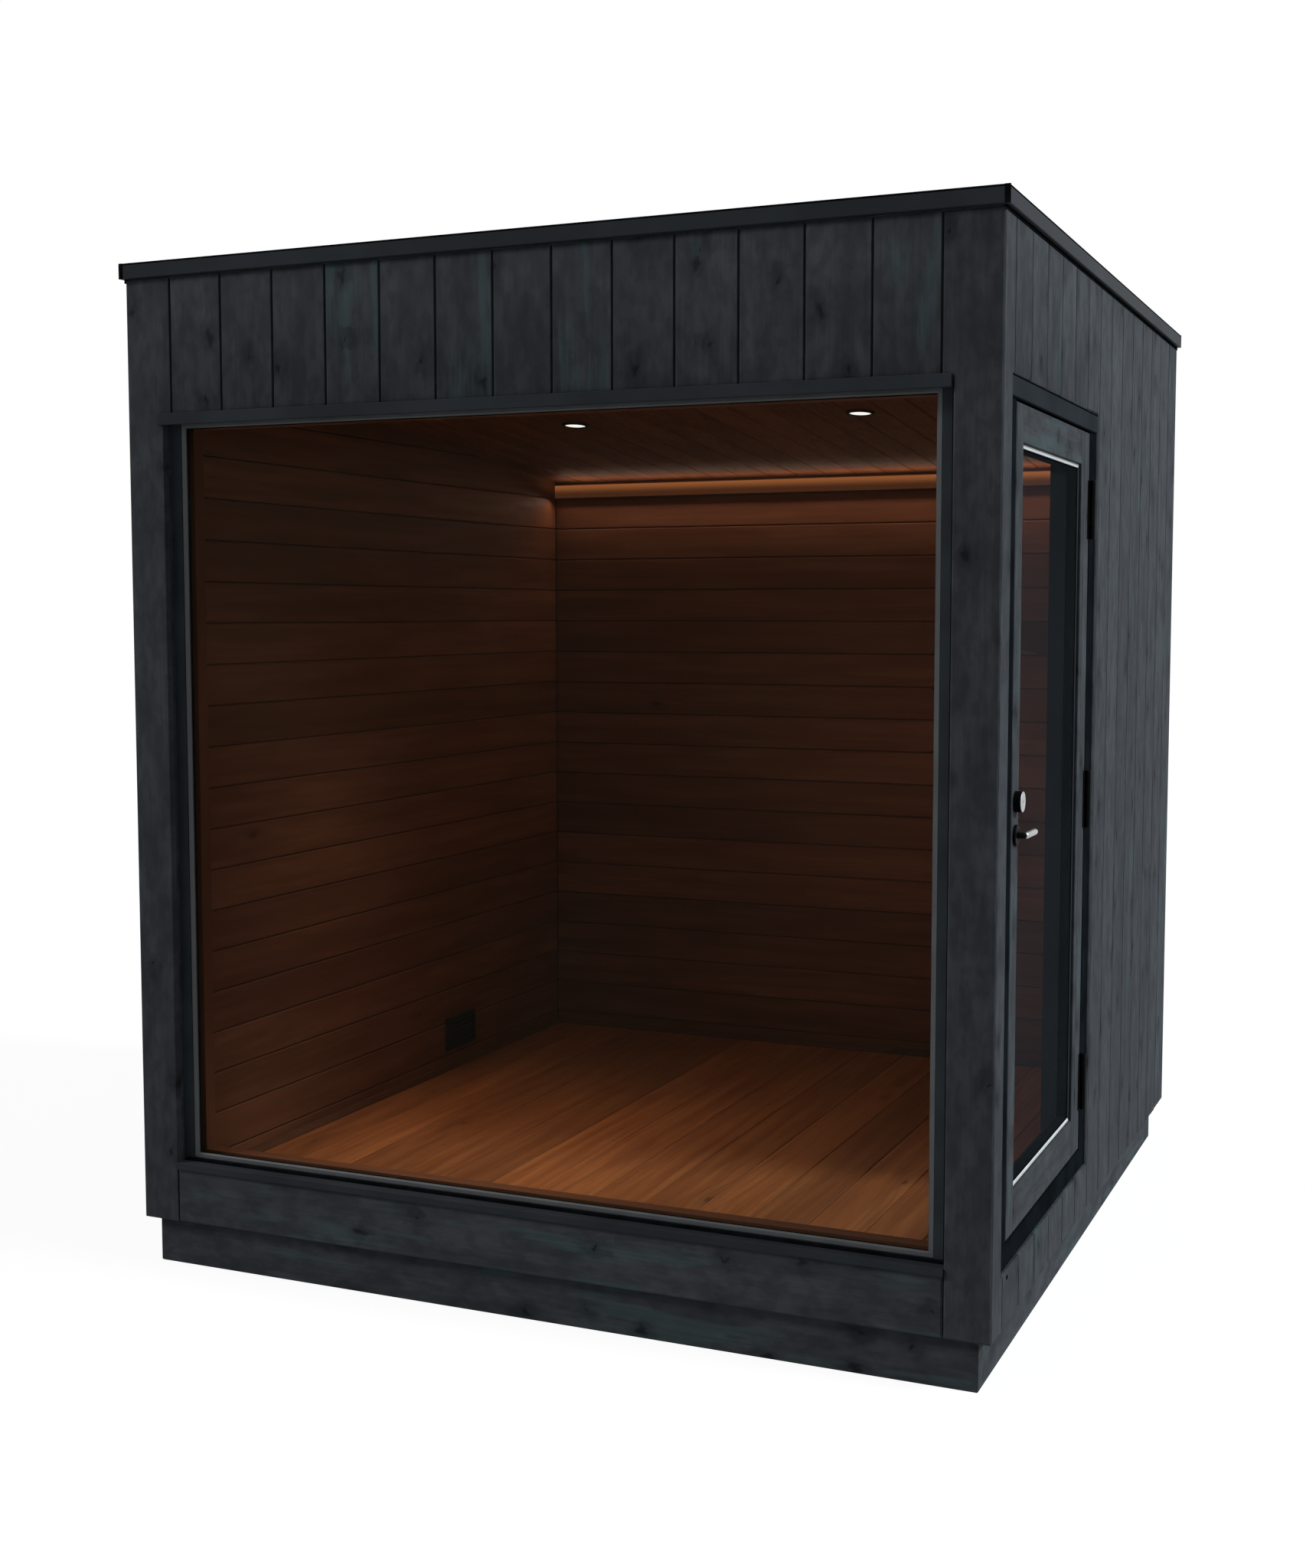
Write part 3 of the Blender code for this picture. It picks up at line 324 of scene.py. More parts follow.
def shadeFelt(tree, look):
    # Bitumen roofing felt with slate grit: dark grey, speckled, fully matt. Grit of 1 mm is drawn
    # at 5 mm so that it shows.
    place = addNode(tree, "TexCoord", output="Object")
    grit = addNode(tree, "TexVoronoi", {"Vector": place, "Scale": 1 / look["grit"]})
    speck = addNode(tree, "SeparateColor", {0: grit.node.outputs["Color"]})
    cloud = addNode(tree, "TexNoise", {"Vector": place, "Scale": 1 / look["cloud"], "Detail": 4.0})
    dusty = addNode(tree, "MapRange", {0: cloud, 1: 0.4, 2: 0.7, 3: 0.0, 4: 0.5},
                    interpolation_type="SMOOTHSTEP")
    colour = toLinear(look["dark"])
    for share, coat in ((speck, "light"), (dusty, "dust")):
        colour = addNode(tree, "Mix", {0: share, 6: colour, 7: toLinear(look[coat])}, 2, data_type="RGBA")
    bump = addNode(tree, "Bump", {"Height": grit, "Strength": 0.5, "Distance": 0.001})
    return addNode(tree, "BsdfPrincipled", {"Base Color": colour, "Roughness": 0.9, "Normal": bump})


feltLook = {"dark": "#1e2022", "light": "#3d4042", "dust": "#4a4c4d", "grit": 0.005, "cloud": 0.3}
finishes = {finish: makeMaterial(name, shadeSheet, look) for finish, (name, look) in sheetLooks.items()}
finishes.update({
    "charcoalSpruce": makeMaterial("charcoal stained spruce", shadeWood, charcoalSpruce),
    "heatTreatedAspen": makeMaterial("heat treated aspen", shadeWood, heatTreatedAspen),
    "oiledPine": makeMaterial("oiled pine floor", shadeWood, oiledPine),
    "satinSteel": makeMaterial("satin stainless steel", shadeSteel, satinSteelLook),
    "greyGlass": makeMaterial("low reflection float glass", shadeGlass, greyGlassLook),
    "doorGlass": makeMaterial("dusty float glass", shadeGlass, doorGlassLook),
    "ledDiffuser": makeMaterial("frosted LED diffuser", shadeGlow, ledLook),
    "spotLens": makeMaterial("frosted spot lens", shadeGlow, lensLook),
    "roofFelt": makeMaterial("bitumen felt", shadeFelt, feltLook),
})
print("materials made:", len(finishes))


# Where a board may lie in its log: metres from the foot, then across and into it from the pith.
cutFrom = ((0, 80), (-0.05, 0.05), (0.03, 0.11))


# A piece is gathered as closed runs of loops of points, bridged and capped, then made into a mesh.
def newPiece(seed):
    return {"points": [], "faces": [], "grain": [], "tone": [], "dice": random.Random(seed)}


def addLoops(piece, loops, run=0, tone=None, closed=False):
    dice = piece["dice"]
    start = len(piece["points"])
    count = len(loops[0])
    points = [Vector(point) for loop in loops for point in loop]
    middle = sum(points, Vector()) / len(points)
    others = [axis for axis in (0, 1, 2) if axis != run]
    spans = [max(p[a] for p in points) - min(p[a] for p in points) for a in others]
    across, into = others if spans[0] >= spans[1] else others[::-1]
    shift = [dice.uniform(*reach) for reach in cutFrom]
    if tone is None:
        tone = dice.uniform(-1, 1)
    for point in points:
        piece["grain"] += (point[run] + shift[0], point[across] - middle[across] + shift[1],
                           point[into] - middle[into] + shift[2])
    piece["tone"] += [tone] * len(points)
    piece["points"] += points
    joins = list(zip(range(len(loops)), range(1, len(loops))))
    if closed:
        joins.append((len(loops) - 1, 0))
    for a, b in joins:
        for i in range(count):
            j = (i + 1) % count
            piece["faces"].append((start + a * count + i, start + a * count + j,
                                   start + b * count + j, start + b * count + i))
    if not closed:
        last = start + (len(loops) - 1) * count
        piece["faces"].append(tuple(start + i for i in range(count)))
        piece["faces"].append(tuple(last + i for i in range(count)))


def addPlate(piece, wall, outline, thick, edge, run, tone, mitreAt=(), back=0.0, sink=0.0, far=1.0):
    # A board cut to a square-cornered outline, with softened edges. A side that looks to +u is
    # softened by the far share, and sides that lie on one of mitreAt are cut at 45 degrees.
    pairs = list(zip(outline, outline[1:] + outline[:1]))
    sense = 1 if sum(a[0] * b[1] - b[0] * a[1] for a, b in pairs) > 0 else -1
    sides = []
    for a, b in pairs:
        way = (Vector(b) - Vector(a)).normalized()
        inward = Vector((-way.y, way.x)) * sense
        mitred = any(abs(a[0] - at) < 0.0001 and abs(b[0] - at) < 0.0001 for at in mitreAt)
        soft = edge * far if inward.x < -0.5 and not mitred else edge
        sides.append((inward, mitred, soft))
    stages = ["face"] + (["shoulder"] if edge else []) + (["rim"] if back else []) + ["rear"]
    loops = []
    for stage in stages:
        loop = []
        for i, corner in enumerate(outline):
            meeting = (sides[i - 1], sides[i])
            soft = min(side[2] for side in meeting)
            if meeting[0][1] or meeting[1][1]:
                soft /= 2
            depth = {"face": 0.0, "shoulder": soft, "rim": thick - back, "rear": thick}[stage]
            drawn = Vector(corner)
            for inward, mitred, width in meeting:
                plain = {"face": width, "rear": back}.get(stage, 0.0)
                cut = {"face": width, "shoulder": width / 2, "rim": thick - back, "rear": thick}[stage]
                drawn += inward * (cut if mitred else plain)
            loop.append(wall(drawn.x, drawn.y, depth + sink))
        loops.append(loop)
    addLoops(piece, loops, run, tone)


def rect(u0, u1, v0, v1):
    return [(u0, v0), (u1, v0), (u1, v1), (u0, v1)]


def cutAround(u0, u1, v0, v1, hole):
    # A board's outlines once an opening (u0, u1, v0, v1) has been taken out of it.
    a, b, c, d = hole
    if a >= u1 or b <= u0:
        return [rect(u0, u1, v0, v1)]
    if a <= u0 and b >= u1:
        parts = []
        if c > v0:
            parts.append(rect(u0, u1, v0, c))
        if d < v1:
            parts.append(rect(u0, u1, d, v1))
        return parts
    low = [(u0, v0), (u1, v0)]
    if a <= u0:
        outline = [(b, v0), (u1, v0), (u1, v1), (u0, v1), (u0, d), (b, d)]
        if c > v0:
            outline = low + [(u1, v1), (u0, v1), (u0, d), (b, d), (b, c), (u0, c)]
        return [outline]
    outline = [(u0, v0), (a, v0), (a, d), (u1, d), (u1, v1), (u0, v1)]
    if c > v0:
        outline = low + [(u1, c), (a, c), (a, d), (u1, d), (u1, v1), (u0, v1)]
    return [outline]


def addBox(piece, low, high, run, edge=0.002, tone=None):
    def wall(u, v, w):
        return (u, v, high[2] - w)
    addPlate(piece, wall, rect(low[0], high[0], low[1], high[1]), high[2] - low[2], edge, run, tone,
             back=edge)


def addFrame(piece, place, outer, section, runs=(0, 2), sides=(0, 1, 2, 3)):
    # Lengths mitred together around a rectangle. The section gives how far each of its points lies
    # in from the rectangle, and its depth.
    u0, u1, v0, v1 = outer
    corners = ((u0, v0, 1, 1), (u1, v0, -1, 1), (u1, v1, -1, -1), (u0, v1, 1, -1))
    for i in sides:
        loops = []
        for u, v, right, up in (corners[i], corners[(i + 1) % 4]):
            loops.append([place(u + right * inward, v + up * inward, depth) for inward, depth in section])
        addLoops(piece, loops, runs[i % 2], 0.0)


def circle(centre, side, other, radius, steps):
    points = []
    for i in range(steps):
        angle = math.tau * i / steps
        points.append(centre + (side * math.cos(angle) + other * math.sin(angle)) * radius)
    return points


def addRound(piece, centre, axis, profile, steps, closed=False):
    # A profile of (radius, reach along the axis), turned about it. One that isn't closed starts and
    # ends a hair off the axis, where it is capped.
    axis = Vector(axis).normalized()
    side = axis.orthogonal().normalized()
    other = axis.cross(side)
    loops = [circle(Vector(centre) + axis * reach, side, other, radius, steps) for radius, reach in profile]
    addLoops(piece, loops, 0, 0.0, closed)


def addTube(piece, path, radii, steps):
    # A bar that follows a path, with a radius at each of its points.
    loops = []
    path = [Vector(point) for point in path]
    side = None
    for i, point in enumerate(path):
        heading = (path[min(i + 1, len(path) - 1)] - path[max(i - 1, 0)]).normalized()
        side = heading.orthogonal() if side is None else side - heading * side.dot(heading)
        side.normalize()
        other = heading.cross(side)
        loops.append(circle(point, side, other, radii[i], steps))
    addLoops(piece, loops, 0, 0.0)


def addRounded(piece, place, centre, half, corner, thick, edge):
    # A plate with rounded corners, softened at the front and the back.
    loops = []
    for inset, depth in ((edge, 0.0), (0.0, edge), (0.0, thick - edge), (edge, thick)):
        radius = corner - inset
        loop = []
        for quarter, (right, up) in enumerate(((1, 1), (-1, 1), (-1, -1), (1, -1))):
            for step in range(9):
                angle = math.pi / 2 * (quarter + step / 8)
                loop.append(place(centre[0] + right * (half[0] - corner) + radius * math.cos(angle),
                                  centre[1] + up * (half[1] - corner) + radius * math.sin(angle), depth))
        loops.append(loop)
    addLoops(piece, loops, 2, 0.0)


def addScrew(piece, centre, axis, radius):
    # A low domed head with a round socket in it.
    profile = ((0.0002, 0.0001), (radius * 0.42, 0.0001), (radius * 0.42, radius * 0.22),
               (radius * 0.72, radius * 0.2), (radius * 0.95, radius * 0.08), (radius, 0.0))
    addRound(piece, centre, axis, profile, 24)


# The imported part's material slot that each finish would take the place of, unless a piece names another.
# It is looked up, and not used.
slotOf = {
    "charcoalSpruce": "black_stained_timber", "heatTreatedAspen": "heat_treated_boards",
    "oiledPine": "floor_boards", "coatedSheet": "black_coated_sheet", "mattSheet": "black_coated_sheet",
    "greyAnodised": "grey_bead", "beadHighlight": "grey_bead", "charcoalPaint": "grey_bead",
    "roofFelt": "roof_felt", "blackedSteel": "satin_steel", "satinSteel": "satin_steel",
    "ledDiffuser": "opal_diffuser", "spotLens": "white_light_fitting", "mouldedAbs": "white_light_fitting",
}
sharpFrom = 32  # degrees between two faces from which their edge stays sharp


def finishPiece(name, piece, finish, replaced=(), body="cabin", slot=None):
    mesh = bpy.data.meshes.new(name)
    mesh.from_pydata([point + wallCorner for point in piece["points"]], [], piece["faces"])
    grain = mesh.attributes.new("grain", "FLOAT_VECTOR", "POINT")
    grain.data.foreach_set("vector", piece["grain"])
    tone = mesh.attributes.new("tone", "FLOAT", "POINT")
    tone.data.foreach_set("value", piece["tone"])
    bm = bmesh.new()
    bm.from_mesh(mesh)
    bmesh.ops.recalc_face_normals(bm, faces=bm.faces)
    bm.to_mesh(mesh)
    bm.free()
    mesh.shade_smooth()
    mesh.set_sharp_from_angle(angle=math.radians(sharpFrom))
    mesh.materials.append(finishes[finish])
    obj = bpy.data.objects.new(name, mesh)
    bpy.context.scene.collection.objects.link(obj)
    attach(obj, body)
    slot or slotOf[finish]
    if replaced:
        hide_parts(*replaced)


hair = 0.0002  # clear gap between dressed pieces that touch
sliver = 0.02  # narrower than this, no board is cut
# Outer boards. The left edge of each is planed off wider than its right one, which catches the
# light beside every joint.
# The tongues behind the gaps are darkened by their tone, as painted shade in the joints.
cladding = {"thick": 0.020, "gap": 0.004, "edge": 0.004, "far": 0.2, "frontPitch": 0.14908,
            "frontCorner": 0.131, "frontLast": 0.1, "sidePitch": 0.1544, "sideCorner": 0.092,
            "tongueDepth": 0.007, "tongueThick": 0.007, "tongueShadeTone": -6.0, "coreShadeTone": -2.0}
# The inner boards' tongues are darkened the same way, as painted shade in the joints.
lining = {"thick": 0.015, "gap": 0.0026, "edge": 0.0026, "far": 1.0, "pitch": 0.10625, "firstJoint": 0.250,
          "belowFloor": 0.02, "belowTop": 0.08, "tongueDepth": 0.005, "tongueThick": 0.005,
          "tongueShadeTone": -5.0}


def frontWall(u, v, w):
    return (u, w, v)


def backWall(u, v, w):
    return (u, wallDepth - w, v)


def rightWall(u, v, w):
    return (wallWidth - w, u, v)


def leftWall(u, v, w):
    return (w, u, v)


def addBoardWall(piece, wall, joints, low, high, hole, look, mitreAt=(), run=2, level=False):
    # Boards between joints, each cut around the opening, with a tongue across every gap. The tongues' tone
    # darkens them far below the boards, as painted shade in the joints.
    half = look["gap"] / 2
    hole = hole or (-9, -9, -9, -9)  # no opening: one far outside the wall
    for first, last in zip(joints, joints[1:]):
        u0 = first if first == joints[0] else first + half
        u1 = last if last == joints[-1] else last - half
        tone = piece["dice"].uniform(-1, 1)
        for outline in cutPieces(u0, u1, low, high, hole, level):
            addPlate(piece, wall, outline, look["thick"], look["edge"], run, tone, mitreAt, far=look["far"])
    for joint in joints[1:-1]:
        for outline in cutPieces(joint - half - hair, joint + half + hair, low, high, hole, level):
            addPlate(piece, wall, outline, look["tongueThick"], 0.0, run, look["tongueShadeTone"],
                     sink=look["tongueDepth"])


def cutPieces(a0, a1, b0, b1, hole, level):
    # Upright boards are cut in (u, v). Level ones are cut in (v, u) and turned back.
    if not level:
        return cutAround(a0, a1, b0, b1, hole)
    turned = cutAround(a0, a1, b0, b1, (hole[2], hole[3], hole[0], hole[1]))
    return [[(v, u) for u, v in outline] for outline in turned]


def evenJoints(low, high, board):
    # Equal boards, as near to the wanted width as fits between two walls.
    count = round((high - low) / board)
    pitch = (high - low) / count
    return [low + pitch * i for i in range(count)] + [high]


def spaced(first, pitch, last):
    # No joint comes so close to the end that a sliver of a board would be left.
    joints = []
    while first < last - sliver:
        joints.append(first)
        first += pitch
    return joints


def buildCladding():
    window = (postWidth, wallWidth - postWidth, wallBase - 1, windowHigh)  # open down past the sill
    door = (postDepth, doorFar, doorLow, doorHigh)
    last = wallWidth - cladding["frontLast"]
    frontJoints = [0.0] + spaced(cladding["frontCorner"], cladding["frontPitch"], last) + [wallWidth]
    sideJoints = [0.0] + spaced(cladding["sideCorner"], cladding["sidePitch"], wallDepth) + [wallDepth]
    # Side, seed of its boards' tones, wall, joints, opening, and the solids under the boards.
    sides = (
        ("front", 12481, frontWall, frontJoints, window,
         ("front_header", "front_sill", "corner_post_front_left", "corner_post_front_right")),
        ("right", 12, rightWall, sideJoints, door,
         ("right_wall", "door_header", "door_sill", "corner_post_front_right", "corner_post_back_right")),
        ("left", 13, leftWall, sideJoints, None,
         ("left_wall", "corner_post_front_left", "corner_post_back_left")),
        ("back", 14, backWall, frontJoints, None,
         ("back_wall", "corner_post_back_left", "corner_post_back_right")),
    )
    for side, seed, wall, joints, opening, solids in sides:
        boards = newPiece(seed)
        ends = (0.0, joints[-1])
        addBoardWall(boards, wall, joints, wallBase, wallTop, opening, cladding, ends)
        if side == "front":
            # One level board under the window, between the posts.
            gap = cladding["gap"] / 2
            sill = rect(postWidth + gap, wallWidth - postWidth - gap, wallBase, windowLow)
            addPlate(boards, wall, sill, cladding["thick"], cladding["edge"], 0, 0.2)
        finishPiece(side + "_boards", boards, "charcoalSpruce", solids)


def buildCore():
    # Studs and sheathing between the outer and the inner boards, seen in the openings' reveals. Their tone
    # darkens them a little, as painted shade in the reveals.
    core = newPiece(21)
    outer = cladding["thick"] + hair
    inner = lining["thick"] + hair
    x0, x1 = outer, wallWidth - outer
    y0, y1 = outer, wallDepth - outer
    front, back = roomFront - inner, roomBack + inner
    left, right = roomLeft - inner, roomRight + inner
    postRight, reveal = wallWidth - postWidth, roomFront - hair
    blocks = (
        ((x0, y0, wallBase), (postWidth, front, wallTop)),
        ((postRight, y0, wallBase), (x1, front, wallTop)),
        ((postWidth, y0, windowHigh), (postRight, reveal, wallTop)),
        ((postWidth, y0, wallBase), (postRight, reveal, windowLow)),
        ((x0, front, wallBase), (left, back, wallTop)),
        ((x0, back, wallBase), (x1, y1, wallTop)),
        ((right, doorFar, wallBase), (x1, back, wallTop)),
        ((right, front, doorHigh), (x1, doorFar, wallTop)),
        ((right, front, wallBase), (x1, doorFar, doorLow)),
    )
    for low, high in blocks:
        addBox(core, low, high, 0, 0.0, cladding["coreShadeTone"])
    finishPiece("wall_core", core, "charcoalSpruce",
                ("left_wall", "right_wall", "back_wall", "front_header", "front_sill"))


sillPlug = {"across": 0.133, "up": 0.2235, "radius": 0.005, "proud": 0.0022}


def buildSillPlug():
    # The rubber plug over a fixing, under the door's near lower corner.
    plug = newPiece(24)
    radius, proud = sillPlug["radius"], sillPlug["proud"]
    addRound(plug, (wallWidth, sillPlug["across"], sillPlug["up"]), (1, 0, 0),
             ((radius * 0.7, -0.004), (radius, -hair), (radius, proud * 0.4), (radius * 0.8, proud * 0.8),
              (radius * 0.4, proud), (0.0004, proud)), 32)
    finishPiece("sill_plug", plug, "edgeRubber", slot="black_vent")


buildCladding()
buildCore()
buildSillPlug()
print("outer boards done")


def buildLining():
    foot, head = floorTop - lining["belowFloor"], wallTop - lining["belowTop"]
    levels = [foot] + spaced(lining["firstJoint"], lining["pitch"], head) + [head]
    door = (postDepth - 1, doorFar, doorLow, doorHigh)  # open to the front wall
    deep, wide = (roomFront, roomBack), (roomLeft, roomRight)
    # Wall, seed, how it lies, its run from end to end, opening, grain's axis and solids under it.
    walls = (
        ("left", 31, lambda u, v, w: (roomLeft - w, u, v), deep, None, 1, ("left_wall",)),
        ("back", 32, lambda u, v, w: (u, roomBack + w, v), wide, None, 0, ("back_wall",)),
        ("right", 33, lambda u, v, w: (roomRight + w, u, v), deep, door, 1,
         ("right_wall", "door_header", "door_sill")),
    )
    for side, seed, wall, (low, high), opening, run, solids in walls:
        boards = newPiece(seed)
        addBoardWall(boards, wall, levels, low, high, opening, lining, (), run, True)
        finishPiece(side + "_lining", boards, "heatTreatedAspen", solids)


# The floor's tongues are darkened by their tone, as painted shade in the joints.
floorBoards = {"board": 0.142, "gap": 0.002, "edge": 0.0016, "far": 1.0, "thick": 0.0275,
               "tongueDepth": 0.006, "tongueThick": 0.006, "tongueShadeTone": -2.6, "joist": 0.045, "joists": 6,
               "bed": 0.0003}


def buildFloor():
    low, high = measured("floor")

    def underfoot(u, v, w):
        return (u, v, high.z - w)
    joints = evenJoints(low.x, high.x, floorBoards["board"])
    boards = newPiece(34)
    addBoardWall(boards, underfoot, joints, low.y, high.y, None, floorBoards, (), 1)
    finishPiece("floor_boards", boards, "oiledPine", ("floor",))
    joists = newPiece(35)
    wide, last = floorBoards["joist"], floorBoards["joists"] - 1
    top = high.z - floorBoards["thick"] - floorBoards["bed"]
    for i in range(last + 1):
        x = low.x + (high.x - low.x - wide) * i / last
        addBox(joists, (x, low.y, low.z), (x + wide, high.y, top), 1)
    finishPiece("floor_joists", joists, "oiledPine", ("floor",))


# The ceiling's tongues are darkened by their tone, as painted shade in the joints.
ceilingBoards = {"board": 0.0995, "gap": 0.003, "edge": 0.003, "far": 1.0, "thick": 0.018,
                 "tongueDepth": 0.005, "tongueThick": 0.005, "tongueShadeTone": -5.0, "backTone": -0.5,
                 "bed": 0.0003}
ceilingLow, ceilingHigh = measured("ceiling")
ceilingCorners = [vertex.co - wallCorner for vertex in nodes["ceiling"].data.vertices]
ceilingFront = [corner.z for corner in ceilingCorners if corner.y < ceilingLow.y + 0.01]
ceilingFall = (ceilingLow.z - min(ceilingFront)) / (ceilingHigh.y - ceilingLow.y)


def underCeiling(u, v, w):
    return (u, v, min(ceilingFront) + ceilingFall * (v - ceilingLow.y) + w)


def buildCeiling():
    low, high = ceilingLow, ceilingHigh
    joints = evenJoints(low.x, high.x, ceilingBoards["board"])
    boards = newPiece(36)
    addBoardWall(boards, underCeiling, joints, low.y, high.y, None, ceilingBoards, (), 1)
    finishPiece("ceiling_boards", boards, "heatTreatedAspen", ("ceiling",))
    backing = newPiece(37)
    thick = max(ceilingFront) - min(ceilingFront) - ceilingBoards["thick"] - ceilingBoards["bed"]
    addPlate(backing, underCeiling, rect(low.x, high.x, low.y, high.y), thick, 0.0, 1,
             ceilingBoards["backTone"], sink=ceilingBoards["thick"] + hair)
    finishPiece("ceiling_backing", backing, "heatTreatedAspen", ("ceiling",))


skirtingLook = {"thick": 0.014, "tone": -3.0}


def buildSkirting():
    low, high = measured("skirting")
    thick = skirtingLook["thick"]
    # Path points: place, then how the inner side pulls in there along y and along x.
    path = ((low.x, low.y, 0, 1), (low.x, high.y, 1, 1), (high.x, high.y, 1, -1),
            (high.x, doorFar + thick, 0, -1))
    section = ((0, low.z), (thick, low.z), (thick, low.z + 0.005), (thick * 0.85, low.z + 0.0085),
               (thick * 0.55, high.z - 0.001), (thick * 0.4, high.z), (0, high.z))
    skirting = newPiece(38)
    for first, last in zip(path, path[1:]):
        loops = [[(x + side * out, y - pull * out, z) for out, z in section]
                 for x, y, pull, side in (first, last)]
        addLoops(skirting, loops, 0 if first[1] == last[1] else 1, skirtingLook["tone"])
    finishPiece("skirting_lengths", skirting, "heatTreatedAspen", ("skirting",))


buildLining()
buildFloor()
buildCeiling()
buildSkirting()
print("room boards done")


plinthLook = {"edge": 0.003, "tone": 0.08}


def buildPlinth():
    for node, run in (("plinth_front", 0), ("plinth_back", 0), ("plinth_left", 1), ("plinth_right", 1)):
        low, high = measured(node)
        beam = newPiece(node)
        addBox(beam, low, high, run, plinthLook["edge"], plinthLook["tone"])
        finishPiece(node + "_beam", beam, "charcoalSpruce", (node,), slot="plinth_timber")


coping = {"rubber": 0.004, "rubberInset": 0.002, "cornerWidth": 0.012, "cornerSkin": 0.0006,
          "cornerProud": 0.0008, "edge": 0.0015, "width": 0.120, "seat": 0.0185, "drop": 0.017,
          "shadowStrip": 0.006, "shadowStripProud": 0.0014, "shadowStripBack": 0.015}


def buildCoping():
    low, high = measured("roof_coping")
    seat = wallTop + coping["seat"]
    width, drop, proud, edge = coping["width"], coping["drop"], coping["cornerProud"], coping["edge"]
    under = high.z - coping["rubber"]
    outer = (low.x, high.x, low.y, high.y)

    def level(u, v, w):
        return (u, v, w)
    section = ((proud, low.z + edge), (proud + edge, low.z), (drop, low.z), (drop, seat), (width, seat),
               (width, under), (proud + edge, under), (proud, under - edge))
    lengths = newPiece(41)
    addFrame(lengths, level, outer, section, (0, 1))
    finishPiece("coping_lengths", lengths, "coatedSheet", ("roof_coping",))
    rubber = newPiece(42)
    inner, foot = width - coping["rubberInset"], under + hair
    section = ((proud, foot), (inner, foot), (inner, high.z), (proud + edge, high.z),
               (proud, high.z - edge))
    addFrame(rubber, level, outer, section, (0, 1))
    across, skin, wrap = coping["cornerWidth"], coping["cornerSkin"], coping["rubber"]
    for x, towardsX in ((low.x, 1), (high.x, -1)):
        for y, towardsY in ((low.y, 1), (high.y, -1)):
            outline = [(0, 0), (across, 0), (across, skin), (skin, skin), (skin, wrap), (0, wrap)]
            loops = [[(x + towardsX * a, y + towardsY * b, z) for a, b in outline] for z in (low.z, high.z)]
            addLoops(rubber, loops, 2, 0.0)
    finishPiece("roof_edge_rubber", rubber, "edgeRubber", ("roof_coping",), slot="roof_felt")
    # A black rubber strip between the coping and the boards on the two sides, as a painted shadow line
    # under the coping's overhang.
    shadowStrip = newPiece(44)
    deep, front, rear = wallTop - coping["shadowStrip"], -coping["shadowStripProud"], coping["shadowStripBack"]
    top, sheet = wallTop + hair, low.z - hair
    section = ((front, deep), (front, sheet), (rear, sheet), (rear, top), (-hair, top), (-hair, deep))
    addFrame(shadowStrip, level, (0.0, wallWidth, 0.0, wallDepth), section, (0, 1), (1, 3))
    finishPiece("coping_shadow_strip", shadowStrip, "edgeRubber", slot="roof_felt")


feltSheets = {"count": 3, "lap": 0.08, "thick": 0.0028, "inset": 0.112, "seam": 0.004, "slope": 0.012}


def buildFelt():
    # Felt in long sheets, each laid over the last one's edge, from the low back to the front.
    top = measured("roof_deck")[1].z + hair
    inset, count = feltSheets["inset"], feltSheets["count"]
    left, right, near, far = inset, wallWidth - inset, inset, wallDepth - inset
    lap, thick, seam = feltSheets["lap"], feltSheets["thick"], feltSheets["seam"]
    wide = (far - near + lap * (count - 1)) / count
    felt = newPiece(43)
    for i in range(count):
        end = far - i * (wide - lap)
        start = end - wide
        over = [(end, 0.0)]
        if i:
            rise = thick + 2 * hair
            over = [(end, rise), (end - lap, rise), (end - lap - feltSheets["slope"], 0.0)]
        upper = [(y, top + z + thick) for y, z in over]
        upper += [(start + seam, top + thick), (start, top + thick * 0.4)]
        lower = [(start, top), *[(y, top + z) for y, z in reversed(over)]]
        loops = [[(x, y, z) for y, z in upper + lower] for x in (left, right)]
        addLoops(felt, loops, 0, 0.0)
    finishPiece("roof_felt_sheets", felt, "roofFelt")


buildPlinth()
buildCoping()
buildFelt()
print("plinth and roof done")


windowLook = {"beadWidth": 0.0127, "beadChamfer": 0.003, "beadEdge": 0.0012, "rubber": 0.0016,
              "shadeSeal": 0.0088, "shadeSealProud": 0.003, "liningEdge": 0.002}


